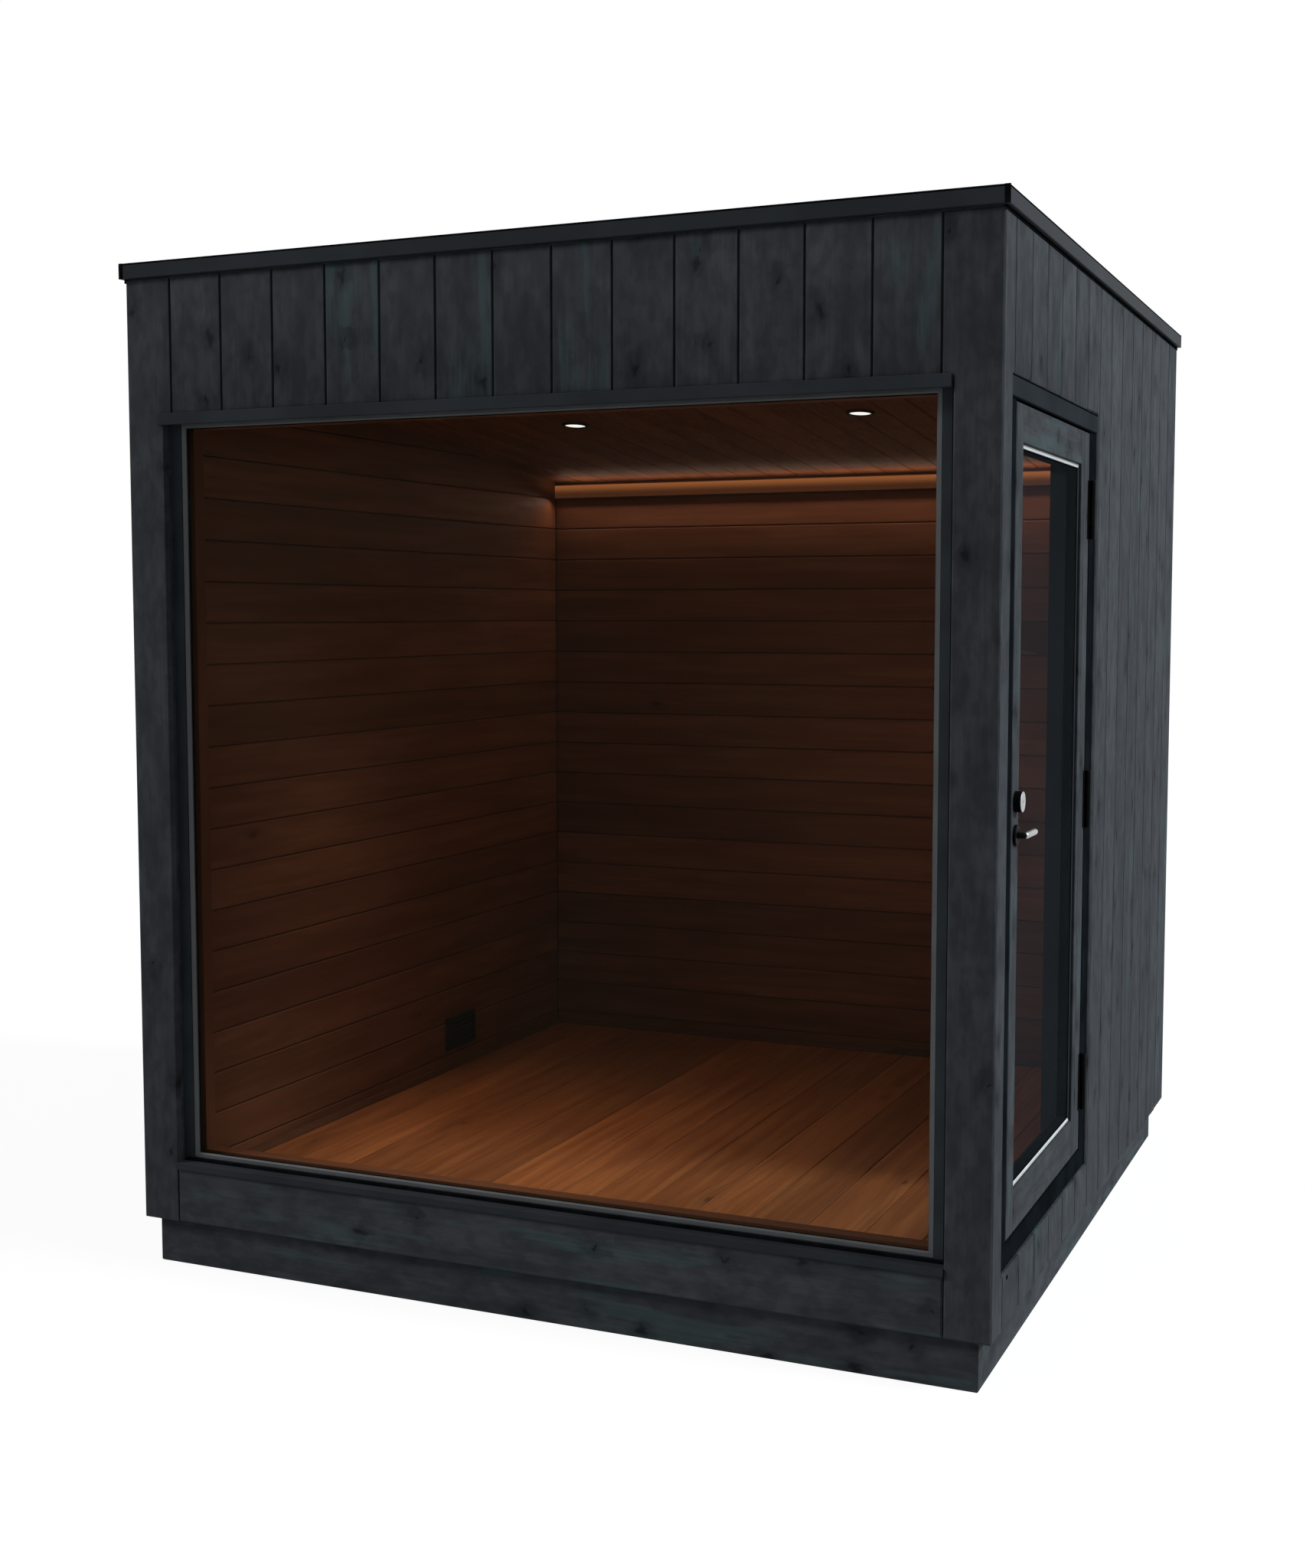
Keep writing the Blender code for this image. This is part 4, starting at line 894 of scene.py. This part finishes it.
def buildWindow():
    beadLow, beadHigh = measured("window_bead")
    outer = (beadLow.x, beadHigh.x, beadLow.z, beadHigh.z)
    face, back = beadLow.y, beadHigh.y
    width, cut, edge = windowLook["beadWidth"], windowLook["beadChamfer"], windowLook["beadEdge"]
    bead = newPiece(51)
    addFrame(bead, frontWall, outer, ((0.0, face + edge), (edge, face), (width - cut, face),
                                      (width, face + cut), (width, back), (0.0, back)))
    finishPiece("window_bead_lengths", bead, "greyAnodised", ("window_bead",))
    # The seal at the bead's inner edge, and a black sealed joint below and on the right of the frame, whose
    # black also stands in as painted shade under the bead and beside the post.
    seal = newPiece(52)
    start, rim = width + hair / 2, width + windowLook["rubber"]
    addFrame(seal, frontWall, outer, ((start, back), (start, back - 0.002), (rim - 0.001, back - 0.0016),
                                      (rim, back)))
    frameLow, frameHigh = measured("window_frame")
    wide, rest, proud = windowLook["shadeSeal"], frameLow.y, windowLook["shadeSealProud"]
    section = ((0.0, rest), (0.0, rest - proud), (wide * 0.5, rest - proud * 0.8), (wide, rest))
    addFrame(seal, frontWall, (frameLow.x, frameHigh.x, frameLow.z, frameHigh.z), section, sides=(0, 1))
    finishPiece("window_gasket", seal, "edgeRubber", slot="grey_bead")
    # Four boards line the reveal, from the room's wall to the bead.
    low, high = measured("window_lining")
    sideIn = beadLow.x + width - low.x
    corners = rect(low.x, high.x, low.z, high.z)
    inner = rect(low.x + sideIn, high.x - sideIn, beadLow.z + width, beadHigh.z - width)
    section = ((0.0, low.y), (1.0, low.y), (1.0, high.y - windowLook["liningEdge"]), (0.94, high.y),
               (0.0, high.y))
    around = newPiece(53)
    for i in range(4):
        loops = []
        for k in (i, (i + 1) % 4):
            corner, towards = Vector(corners[k]), Vector(inner[k]) - Vector(corners[k])
            loops.append([frontWall(*(corner + towards * share), depth) for share, depth in section])
        addLoops(around, loops, (0, 2)[i % 2])
    finishPiece("window_lining_boards", around, "heatTreatedAspen", ("window_lining",))


buildWindow()
print("window done")


def sidePlace(u, v, w):
    # Along the side wall, up, and the depth measured as x.
    return (w, u, v)


doorFrameLook = {"dripClear": 0.005, "dripThick": 0.0053, "dripEdge": 0.0015, "shadowLine": 0.004,
                 "shadowLineProud": 0.0006, "endGap": 0.0005, "sealRoom": 0.0064, "sealBack": 0.007}


def buildDoorFrame():
    high = measured("door_head")[1]
    leafLow, leafHigh = measured("door_leaf")
    near, far = postDepth + doorFrameLook["endGap"], doorFar - doorFrameLook["endGap"]
    edge, face = doorFrameLook["dripEdge"], high.x + hair
    front, foot = face + doorFrameLook["dripThick"], leafHigh.z + doorFrameLook["dripClear"]
    section = [(face, foot), ((face + front) / 2, foot), (front, foot + 0.002), (front, high.z - edge),
               (front - edge, high.z), (face, high.z)]
    drip = newPiece(61)
    addLoops(drip, [[(x, y, z) for x, z in section] for y in (near, far)], 1, 0.0)
    finishPiece("door_drip_strip", drip, "mattSheet")
    # The rubber seal on the stop, which the closed leaf comes up against.
    room, stop = doorFrameLook["sealRoom"], leafLow.x - doorFrameLook["sealBack"]
    outer = (leafLow.y - room, leafHigh.y + room, leafLow.z - room, leafHigh.z + room)
    section = ((0.001, stop), (0.0085, stop), (0.0085, stop + 0.002), (0.0062, stop + 0.0048),
               (0.0035, stop + 0.0052), (0.001, stop + 0.003))
    seal = newPiece(62)
    addFrame(seal, sidePlace, outer, section, (1, 2))
    # A black rubber strip along the top of the drip strip, as a painted shadow line under the header
    # boards.
    proud, line = doorFrameLook["shadowLineProud"], high.z - doorFrameLook["shadowLine"]
    addBox(seal, (face, near, line), (front + proud, far, high.z), 1, proud, 0.0)
    finishPiece("door_frame_seal", seal, "edgeRubber", slot="black_joinery")


leafLook = {"lockStile": 0.063, "hingeSplit": 0.033, "hingeStile": 0.093, "bottomRail": 0.095,
            "topRail": 0.082, "lip": 0.012, "lipThick": 0.006, "edge": 0.0016, "split": 0.0016,
            "splitDepth": 0.005, "splitShadeTone": -6.0, "beadWidth": 0.009, "spacer": 0.0135, "pane": 0.004,
            "tuck": 0.001}


def buildLeaf():
    low, high = measured("door_leaf")
    lightLeft, lightRight = low.y + leafLook["lockStile"], high.y - leafLook["hingeStile"]
    lightLow, lightHigh = low.z + leafLook["bottomRail"], high.z - leafLook["topRail"]
    split, half = lightRight + leafLook["hingeSplit"], leafLook["split"] / 2
    thick, edge, depth = high.x - low.x, leafLook["edge"], leafLook["splitDepth"]

    def face(u, v, w):
        return (high.x - w, u, v)
    leaf = newPiece(63)
    for outline, run, tone in (
            (rect(low.y, lightLeft, low.z, high.z), 2, 0.3),
            (rect(lightRight, split - half, low.z, high.z), 2, -0.2),
            (rect(split + half, high.y, low.z, high.z), 2, 0.5),
            (rect(lightLeft, lightRight, low.z, lightLow), 1, 0.0),
            (rect(lightLeft, lightRight, lightHigh, high.z), 1, 0.4)):
        addPlate(leaf, face, outline, thick, edge, run, tone, back=edge)
    # The insert in the split is darkened by its tone, as painted shade in the groove.
    addPlate(leaf, face, rect(split - half - hair, split + half + hair, low.z, high.z), thick - 2 * depth,
             0.0, 2, leafLook["splitShadeTone"], sink=depth)
    finishPiece("leaf_stiles_rails", leaf, "charcoalSpruce", ("door_leaf",), body="door",
                slot="black_stained_leaf")
    # The lip behind the glass, in black rubber, with the seal and the spacer of the pane.
    seal = newPiece(64)
    lip, tuck, width = leafLook["lip"], leafLook["tuck"], leafLook["beadWidth"]
    back, front = low.x + hair, low.x + leafLook["lipThick"]
    section = ((-tuck, back), (lip - 0.001, back), (lip, back + 0.001), (lip, front), (-tuck, front))
    addFrame(seal, sidePlace, (lightLeft, lightRight, lightLow, lightHigh), section, (1, 2))
    paneLow, paneHigh = measured("door_glass")
    spacer, back, front = leafLook["spacer"], paneLow.x + leafLook["pane"], paneHigh.x - leafLook["pane"]
    section = ((tuck, back), (spacer, back), (spacer, front), (tuck, front))
    addFrame(seal, sidePlace, (paneLow.y, paneHigh.y, paneLow.z, paneHigh.z), section, (1, 2))
    beadLow, beadHigh = measured("door_bead")
    outer = (beadLow.y, beadHigh.y, beadLow.z, beadHigh.z)
    back, front, start = beadLow.x, beadHigh.x, width + hair / 2
    section = ((start, back), (width + 0.0026, back), (width + 0.0016, back + 0.0016),
               (start, back + 0.002))
    addFrame(seal, sidePlace, outer, section, (1, 2))
    finishPiece("door_gasket", seal, "edgeRubber", body="door", slot="black_joinery")
    section = ((0.0, back), (width, back), (width, front - 0.0012), (width - 0.0015, front),
               (0.0008, front), (0.0, front - 0.0008))
    # One extrusion all round: the level beads take a near-white painted highlight, the upright ones the
    # charcoal paint as painted shade.
    for name, seed, finish, sides in (("level", 65, "beadHighlight", (0, 2)),
                                      ("upright", 66, "charcoalPaint", (1, 3))):
        bead = newPiece(seed)
        addFrame(bead, sidePlace, outer, section, (1, 2), sides)
        finishPiece("door_bead_" + name, bead, finish, ("door_bead",), body="door")


hingeLook = {"radius": 0.008, "flap": 0.0025, "flapClear": 0.0032, "slit": 0.0006, "cap": 0.0055,
             "groove": 0.0005, "leafPlate": 0.0174, "plateThick": 0.0022}


def buildHinges():
    radius, cap, groove = hingeLook["radius"], hingeLook["cap"], hingeLook["groove"]
    leafFace = measured("door_leaf")[1].x
    for label in ("low", "middle", "top"):
        for half, body, side in (("jamb", "cabin", 1), ("leaf", "door", -1)):
            node = "hinge_" + half + "_half_" + label
            low, high = measured(node)
            axis = Vector((high.x - radius, low.y + radius, low.z))
            length = high.z - low.z
            # The knuckle, with its cap at the end away from the other half.
            waist = radius - groove
            profile = [(0.0005, 0.0), (radius * 0.72, 0.0), (waist, 0.0012), (waist, cap),
                       (radius, cap + groove), (radius, length - groove), (waist, length), (0.0005, length)]
            if side < 0:
                profile = [(r, length - reach) for r, reach in reversed(profile)]
            piece = newPiece(node)
            addRound(piece, axis, (0, 0, 1), profile, 40)
            # The flap, whose flat side lies in the gap between the leaf and the jamb.
            outer = side * hingeLook["flapClear"]
            near, far = sorted((axis.y + outer, axis.y + outer - side * hingeLook["flap"]))
            addBox(piece, (low.x, near, low.z), (axis.x - radius * 0.4, far, high.z), 2, 0.0003, 0.0)
            if side < 0:
                # The plate on the leaf's face, as long as both halves.
                start, end = axis.y - hingeLook["leafPlate"], axis.y - radius - 0.0006
                addBox(piece, (leafFace + hair / 2, start, low.z - length - hingeLook["slit"]),
                       (leafFace + hingeLook["plateThick"], end, high.z), 2, 0.0005, 0.0)
            finishPiece(node + "_knuckle", piece, "blackedSteel", (node,), body=body, slot="black_hinge")


furniture = {"rose": 0.023, "bore": 0.0077, "roseThick": 0.007, "seat": 0.0003, "lever": 0.007,
             "reach": 0.024, "length": 0.090, "bend": 0.014, "barrel": 0.0163, "lockTop": 0.0175,
             "core": 0.0085, "keyway": (0.0022, 0.0088)}


def addLever(neck, grip, centre, side, face):
    # Out from the leaf, round a bend, then along it to a softly rounded end.
    reach, bend, radius = furniture["reach"], furniture["bend"], furniture["lever"]
    curve = [(0.0004, 0.0), (reach - bend, 0.0)]
    for i in range(1, 13):
        angle = math.pi / 2 * i / 12
        curve.append((reach - bend * (1 - math.sin(angle)), bend * (1 - math.cos(angle))))
    path = [(face + side * out, centre.y + along, centre.z) for out, along in curve]
    # The neck ends in the bend, at the point where the grip starts.
    split = 8
    addTube(neck, path[:split + 1], [radius - 0.0004] * (split + 1), 40)
    length = furniture["length"]
    tail = [(length - 0.030, 1.0), (length - 0.004, 1.0), (length - 0.0018, 0.93), (length - 0.0006, 0.8),
            (length, 0.55)]
    path = path[split:] + [(face + side * reach, centre.y + along, centre.z) for along, share in tail]
    shares = [0.9] + [1.0] * (len(path) - len(tail) - 1) + [share for along, share in tail]
    addTube(grip, path, [radius * share for share in shares], 40)


def buildFurniture():
    leafLow, leafHigh = measured("door_leaf")
    spindle, lock = middleOf("handle_rose_outer"), middleOf("lock_rose")
    rose, bore, thick, seat = (furniture[size] for size in ("rose", "bore", "roseThick", "seat"))
    rim = ((rose, seat), (rose, thick - 0.0018), (rose - 0.0005, thick - 0.0007), (rose - 0.0016, thick))
    ring = ((bore, seat), *rim, (bore + 0.0006, thick), (bore, thick - 0.0006))
    for label, side, face in (("outer", 1, leafHigh.x), ("inner", -1, leafLow.x)):
        piece = newPiece(71)
        addRound(piece, (face, spindle.y, spindle.z), (side, 0, 0), ring, 64, True)
        finishPiece("handle_rose_" + label + "_ring", piece, "blackedSteel", ("handle_rose_" + label,),
                    body="door")
        neck, grip = newPiece(72), newPiece(73)
        addLever(neck, grip, spindle, side, face)
        finishPiece("lever_" + label + "_neck", neck, "blackedSteel", ("lever_" + label,), body="handle")
        finishPiece("lever_" + label + "_grip", grip, "satinSteel", ("lever_" + label,), body="handle")
    outside, inside = (leafHigh.x, lock.y, lock.z), (leafLow.x, lock.y, lock.z)
    end, top, core = furniture["barrel"], furniture["lockTop"], furniture["core"]
    barrel = newPiece(74)
    addRound(barrel, outside, (1, 0, 0), ((0.0005, seat), (rose, seat), (rose, end - 0.0004),
                                          (rose - 0.0006, end), (0.0005, end)), 64)
    keyway = Vector((0.001, *furniture["keyway"])) / 2
    middle = Vector(outside) + Vector((top + hair / 10 - keyway.x, 0, 0))
    addBox(barrel, middle - keyway, middle + keyway, 2, 0.0002, 0.0)
    finishPiece("lock_barrel", barrel, "blackedSteel", ("lock_rose",), body="door")
    # The bright cap: a ring on the barrel, with the cylinder's face in it.
    start, hole = end + hair / 2, core + 0.0004
    cap = newPiece(75)
    addRound(cap, outside, (1, 0, 0), ((hole, start), (rose - 0.0007, start), (rose - 0.0007, top - 0.0006),
                                       (rose - 0.0014, top), (core + 0.0009, top), (hole, top - 0.0004)),
             64, True)
    addRound(cap, outside, (1, 0, 0), ((0.0004, start), (core, start), (core, top - 0.0005),
                                       (core - 0.0005, top - 0.0001), (0.0004, top - 0.0001)), 48)
    finishPiece("lock_cap", cap, "satinSteel", ("lock_rose",), body="door")
    turnRose = newPiece(76)
    addRound(turnRose, inside, (-1, 0, 0), ((0.0004, seat), *rim, (0.0004, thick)), 64)
    finishPiece("thumb_turn_rose_plate", turnRose, "blackedSteel", ("thumb_turn_rose",), body="door")
    low, high = measured("thumb_turn")
    turn = newPiece(77)
    addRounded(turn, lambda u, v, w: (low.x + w, u, v), (lock.y, lock.z),
               ((high.y - low.y) / 2, (high.z - low.z) / 2), 0.0042, high.x - low.x, 0.0014)
    finishPiece("thumb_turn_wing", turn, "satinSteel", ("thumb_turn",), body="door")


latchLook = {"screw": 0.0042, "screwIn": 0.011, "proud": 0.0004, "boltHalf": 0.0055, "sunk": 0.0006}


def buildLatch():
    low, high = measured("latch_plate")
    front = low.y - latchLook["proud"]
    middle, half = (low.x + high.x) / 2, (high.x - low.x) / 2
    plate = newPiece(78)
    addRounded(plate, lambda u, v, w: (u, front + w, v), (middle, (low.z + high.z) / 2),
               (half, (high.z - low.z) / 2), half - 0.0005, high.y - front, 0.0003)
    for z in (low.z + latchLook["screwIn"], high.z - latchLook["screwIn"]):
        addScrew(plate, (middle, front, z), (0, -1, 0), latchLook["screw"])
    finishPiece("latch_face_plate", plate, "satinSteel", ("latch_plate",), body="door")
    bolts = newPiece(79)
    # The latch beside the levers and the bolt beside the lock: half length, and how far out.
    for node, tall, proud in (("handle_rose_outer", 0.016, 0.0014), ("lock_rose", 0.013, 0.0008)):
        addRounded(bolts, lambda u, v, w: (u, front - proud + w, v), (middle, middleOf(node).z),
                   (latchLook["boltHalf"], tall), 0.0012, proud + latchLook["sunk"], 0.0004)
    finishPiece("latch_bolts", bolts, "blackedSteel", ("latch_plate",), body="door")


buildDoorFrame()
buildLeaf()
buildHinges()
buildFurniture()
buildLatch()
print("door done")


stripLook = {"wall": 0.0025, "gap": 0.0003, "bow": 0.0022, "endIn": 0.001}
lampLook = {"lens": 0.0295, "ring": 0.040, "drop": 0.006}


def buildRoomFittings():
    # The strip light: a slim channel along the back wall with a bowed frosted cover.
    low, high = measured("led_strip")
    wall, lip, thick = high.y, low.y, stripLook["wall"]
    channel = newPiece(81)
    section = [(wall, low.z), (lip, low.z), (lip, low.z + thick), (wall - thick, low.z + thick),
               (wall - thick, high.z - thick), (lip, high.z - thick), (lip, high.z), (wall, high.z)]
    addLoops(channel, [[(x, y, z) for y, z in section] for x in (low.x, high.x)], 0, 0.0)
    finishPiece("led_channel", channel, "heatTreatedAspen", ("led_strip",), slot="opal_diffuser")
    cover = newPiece(82)
    inset, ends = thick + stripLook["gap"], stripLook["endIn"]
    foot, rise = low.z + inset, high.z - low.z - 2 * inset
    bow = []
    for i in range(13):
        out = stripLook["gap"] + stripLook["bow"] * (1 - math.sin(math.pi * i / 12))
        bow.append((lip + out, foot + rise * i / 12))
    section = [(wall - inset, foot), *bow, (wall - inset, high.z - inset)]
    addLoops(cover, [[(x, y, z) for y, z in section] for x in (low.x + ends, high.x - ends)], 0, 0.0)
    finishPiece("led_cover", cover, "ledDiffuser", ("led_strip",))
    # Two downlights: a frosted lens in a black ring, square to the sloping ceiling.
    radius, lens, drop = lampLook["ring"], lampLook["lens"], lampLook["drop"]
    down = Vector((0, ceilingFall, -1)).normalized()
    hole = lens + hair
    ringProfile = ((hole, hair), (radius, hair), (radius, drop * 0.45), (radius - 0.0012, drop * 0.75),
                   (radius - 0.003, drop), (lens + 0.0012, drop), (hole, drop * 0.6))
    lensProfile = ((0.0005, 0.0004), (lens, 0.0004), (lens, drop * 0.5), (lens * 0.8, drop * 0.62),
                   (lens * 0.4, drop * 0.7), (0.0005, drop * 0.72))
    for node in ("downlight_left", "downlight_right"):
        middle = middleOf(node)
        centre = underCeiling(middle.x, middle.y, 0.0)
        ring = newPiece(83)
        addRound(ring, centre, down, ringProfile, 64, True)
        finishPiece(node + "_ring", ring, "mouldedAbs", (node,))
        pane = newPiece(84)
        addRound(pane, centre, down, lensProfile, 64)
        finishPiece(node + "_lens", pane, "spotLens", (node,))


buildRoomFittings()

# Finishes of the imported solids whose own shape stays.
keptFinishes = {
    "roof_deck": "roofFelt", "window_sill_sheet": "coatedSheet", "window_drip_strip": "coatedSheet",
    # The door frame's near-black paint also serves as painted shade of its recess.
    "window_frame": "charcoalPaint", "window_glass": "greyGlass", "door_jamb_lock_side": "blackPaintShade",
    "door_jamb_hinge_side": "blackPaintShade", "door_head": "blackPaintShade", "door_threshold": "blackPaintShade",
    "door_glass": "doorGlass", "strike_plate": "satinSteel", "wall_vent": "mouldedAbs",
}
for node, finish in keptFinishes.items():
    for holder in nodes[node].material_slots:
        holder.material = finishes[finish]
print("fittings done, kept pieces finished:", len(keptFinishes))


studio = {"sky": 0.26, "floorBounce": "#9a9a9a", "floorShare": 0.88, "floorGlow": 1.04, "floorReach": 30.0}
studioLamps = {
    "key light": {"colour": "#f4feff", "strength": 3.25, "height": 40, "turn": 6, "softness": 14},
    "fill light": {"colour": "#ffffff", "strength": 1.45, "height": 35, "turn": -150, "softness": 14},
}


def seenDirectly(tree):
    path = addNode(tree, "LightPath").node.outputs
    seen = path["Is Camera Ray"]
    for ray in ("Is Glossy Ray", "Is Transmission Ray"):
        seen = addNode(tree, "Math", {0: seen, 1: path[ray]}, operation="MAXIMUM")
    return seen


def shadeFloor(tree, look):
    # White to the camera, and a quieter grey to the light that bounces off it.
    seen = seenDirectly(tree)
    bounce = addNode(tree, "Mix", {0: seen, 6: toLinear(look["floorBounce"]), 7: (0.9, 0.9, 0.9, 1)}, 2,
                     data_type="RGBA")
    matt = addNode(tree, "BsdfDiffuse", {"Color": bounce})
    pale = addNode(tree, "Emission", {"Color": (1, 1, 1, 1), "Strength": look["floorGlow"]})
    share = addNode(tree, "Math", {0: seen, 1: look["floorShare"]}, operation="MULTIPLY")
    return addNode(tree, "MixShader", {0: share, 1: matt, 2: pale})


def buildStudio():
    world = bpy.data.worlds.new("studio")
    bpy.context.scene.world = world
    world.use_nodes = True
    tree = world.node_tree
    tree.nodes.clear()
    soft = addNode(tree, "Background", {"Color": (1, 1, 1, 1), "Strength": studio["sky"]})
    white = addNode(tree, "Background", {"Color": (1, 1, 1, 1), "Strength": 1.0})
    mixed = addNode(tree, "MixShader", {0: seenDirectly(tree), 1: soft, 2: white})
    addNode(tree, "OutputWorld", {"Surface": mixed})
    mesh = bpy.data.meshes.new("studio_floor")
    reach = studio["floorReach"]
    mesh.from_pydata([(x, y, 0) for x, y in rect(-reach, reach, -reach, reach)], [], [(0, 1, 2, 3)])
    mesh.materials.append(makeMaterial("studio floor", shadeFloor, studio))
    floor = bpy.data.objects.new("studio_floor", mesh)
    bpy.context.scene.collection.objects.link(floor)
    for name, look in studioLamps.items():
        # Turned from the right-hand side, anticlockwise seen from above.
        sun = bpy.data.lights.new(name, "SUN")
        sun.color = toLinear(look["colour"])[:3]
        sun.energy = look["strength"]
        sun.angle = math.radians(look["softness"])
        lamp = bpy.data.objects.new(name, sun)
        height, turn = math.radians(look["height"]), math.radians(look["turn"])
        level = math.cos(height)
        towards = Vector((level * math.cos(turn), level * math.sin(turn), math.sin(height)))
        lamp.rotation_euler = towards.to_track_quat("Z", "Y").to_euler()
        bpy.context.scene.collection.objects.link(lamp)


# Warm lamps in the room: the downlights' pools on the floor, an even glow, and the strip's wash.
roomLamps = {
    "pool": {"kind": "AREA", "power": 1.9, "size": (0.9, 0.9), "spread": 68, "at": (0.80, 0.62, 2.10)},
    "left pool": {"kind": "AREA", "power": 0.85, "size": (0.2, 0.2), "spread": 52,
                  "at": (0.50, 0.66, 2.10)},
    "right pool": {"kind": "AREA", "power": 0.45, "size": (0.2, 0.2), "spread": 52,
                   "at": (1.10, 0.50, 2.10)},
    "glow": {"kind": "POINT", "power": 3.1, "radius": 0.40, "at": (1.56, 1.42, 1.14)},
    "strip down": {"kind": "AREA", "power": 1.6, "size": (1.96, 0.02), "spread": 175,
                   "at": (1.10, 2.10, 2.048), "tilt": -20},
    "strip up": {"kind": "AREA", "power": 1.0, "size": (1.9, 0.02), "spread": 160,
                 "at": (1.10, 2.08, 2.060), "tilt": 180},
}
roomColour = "#ffdfc4"


def buildRoomLamps():
    for name, look in roomLamps.items():
        light = bpy.data.lights.new(name, look["kind"])
        light.energy = look["power"]
        light.color = toLinear(roomColour)[:3]
        if look["kind"] == "AREA":
            light.shape = "RECTANGLE"
            light.size, light.size_y = look["size"]
            light.spread = math.radians(look["spread"])
        else:
            light.shadow_soft_size = look["radius"]
        lamp = bpy.data.objects.new(name, light)
        lamp.location = Vector(look["at"]) + wallCorner
        lamp.rotation_euler.x = math.radians(look.get("tilt", 0))
        lamp.visible_camera = False
        bpy.context.scene.collection.objects.link(lamp)


# The photograph's own viewpoint.
view = {"lens": 43.719, "sensor": 36.0, "shift": (-0.009716, -0.014683), "at": (3.1240, -3.8502, 1.6522),
        "tilt": 85.6115, "turn": 23.3787}


def buildCamera():
    lens = bpy.data.cameras.new("camera")
    lens.lens = view["lens"]
    lens.sensor_width = view["sensor"]
    lens.shift_x, lens.shift_y = view["shift"]
    camera = bpy.data.objects.new("camera", lens)
    camera.location = Vector(view["at"]) + wallCorner
    camera.rotation_euler = (math.radians(view["tilt"]), 0.0, math.radians(view["turn"]))
    bpy.context.scene.collection.objects.link(camera)
    bpy.context.scene.camera = camera


buildStudio()
buildRoomLamps()
buildCamera()
bpy.context.scene.view_settings.view_transform = "Standard"
print("studio done")
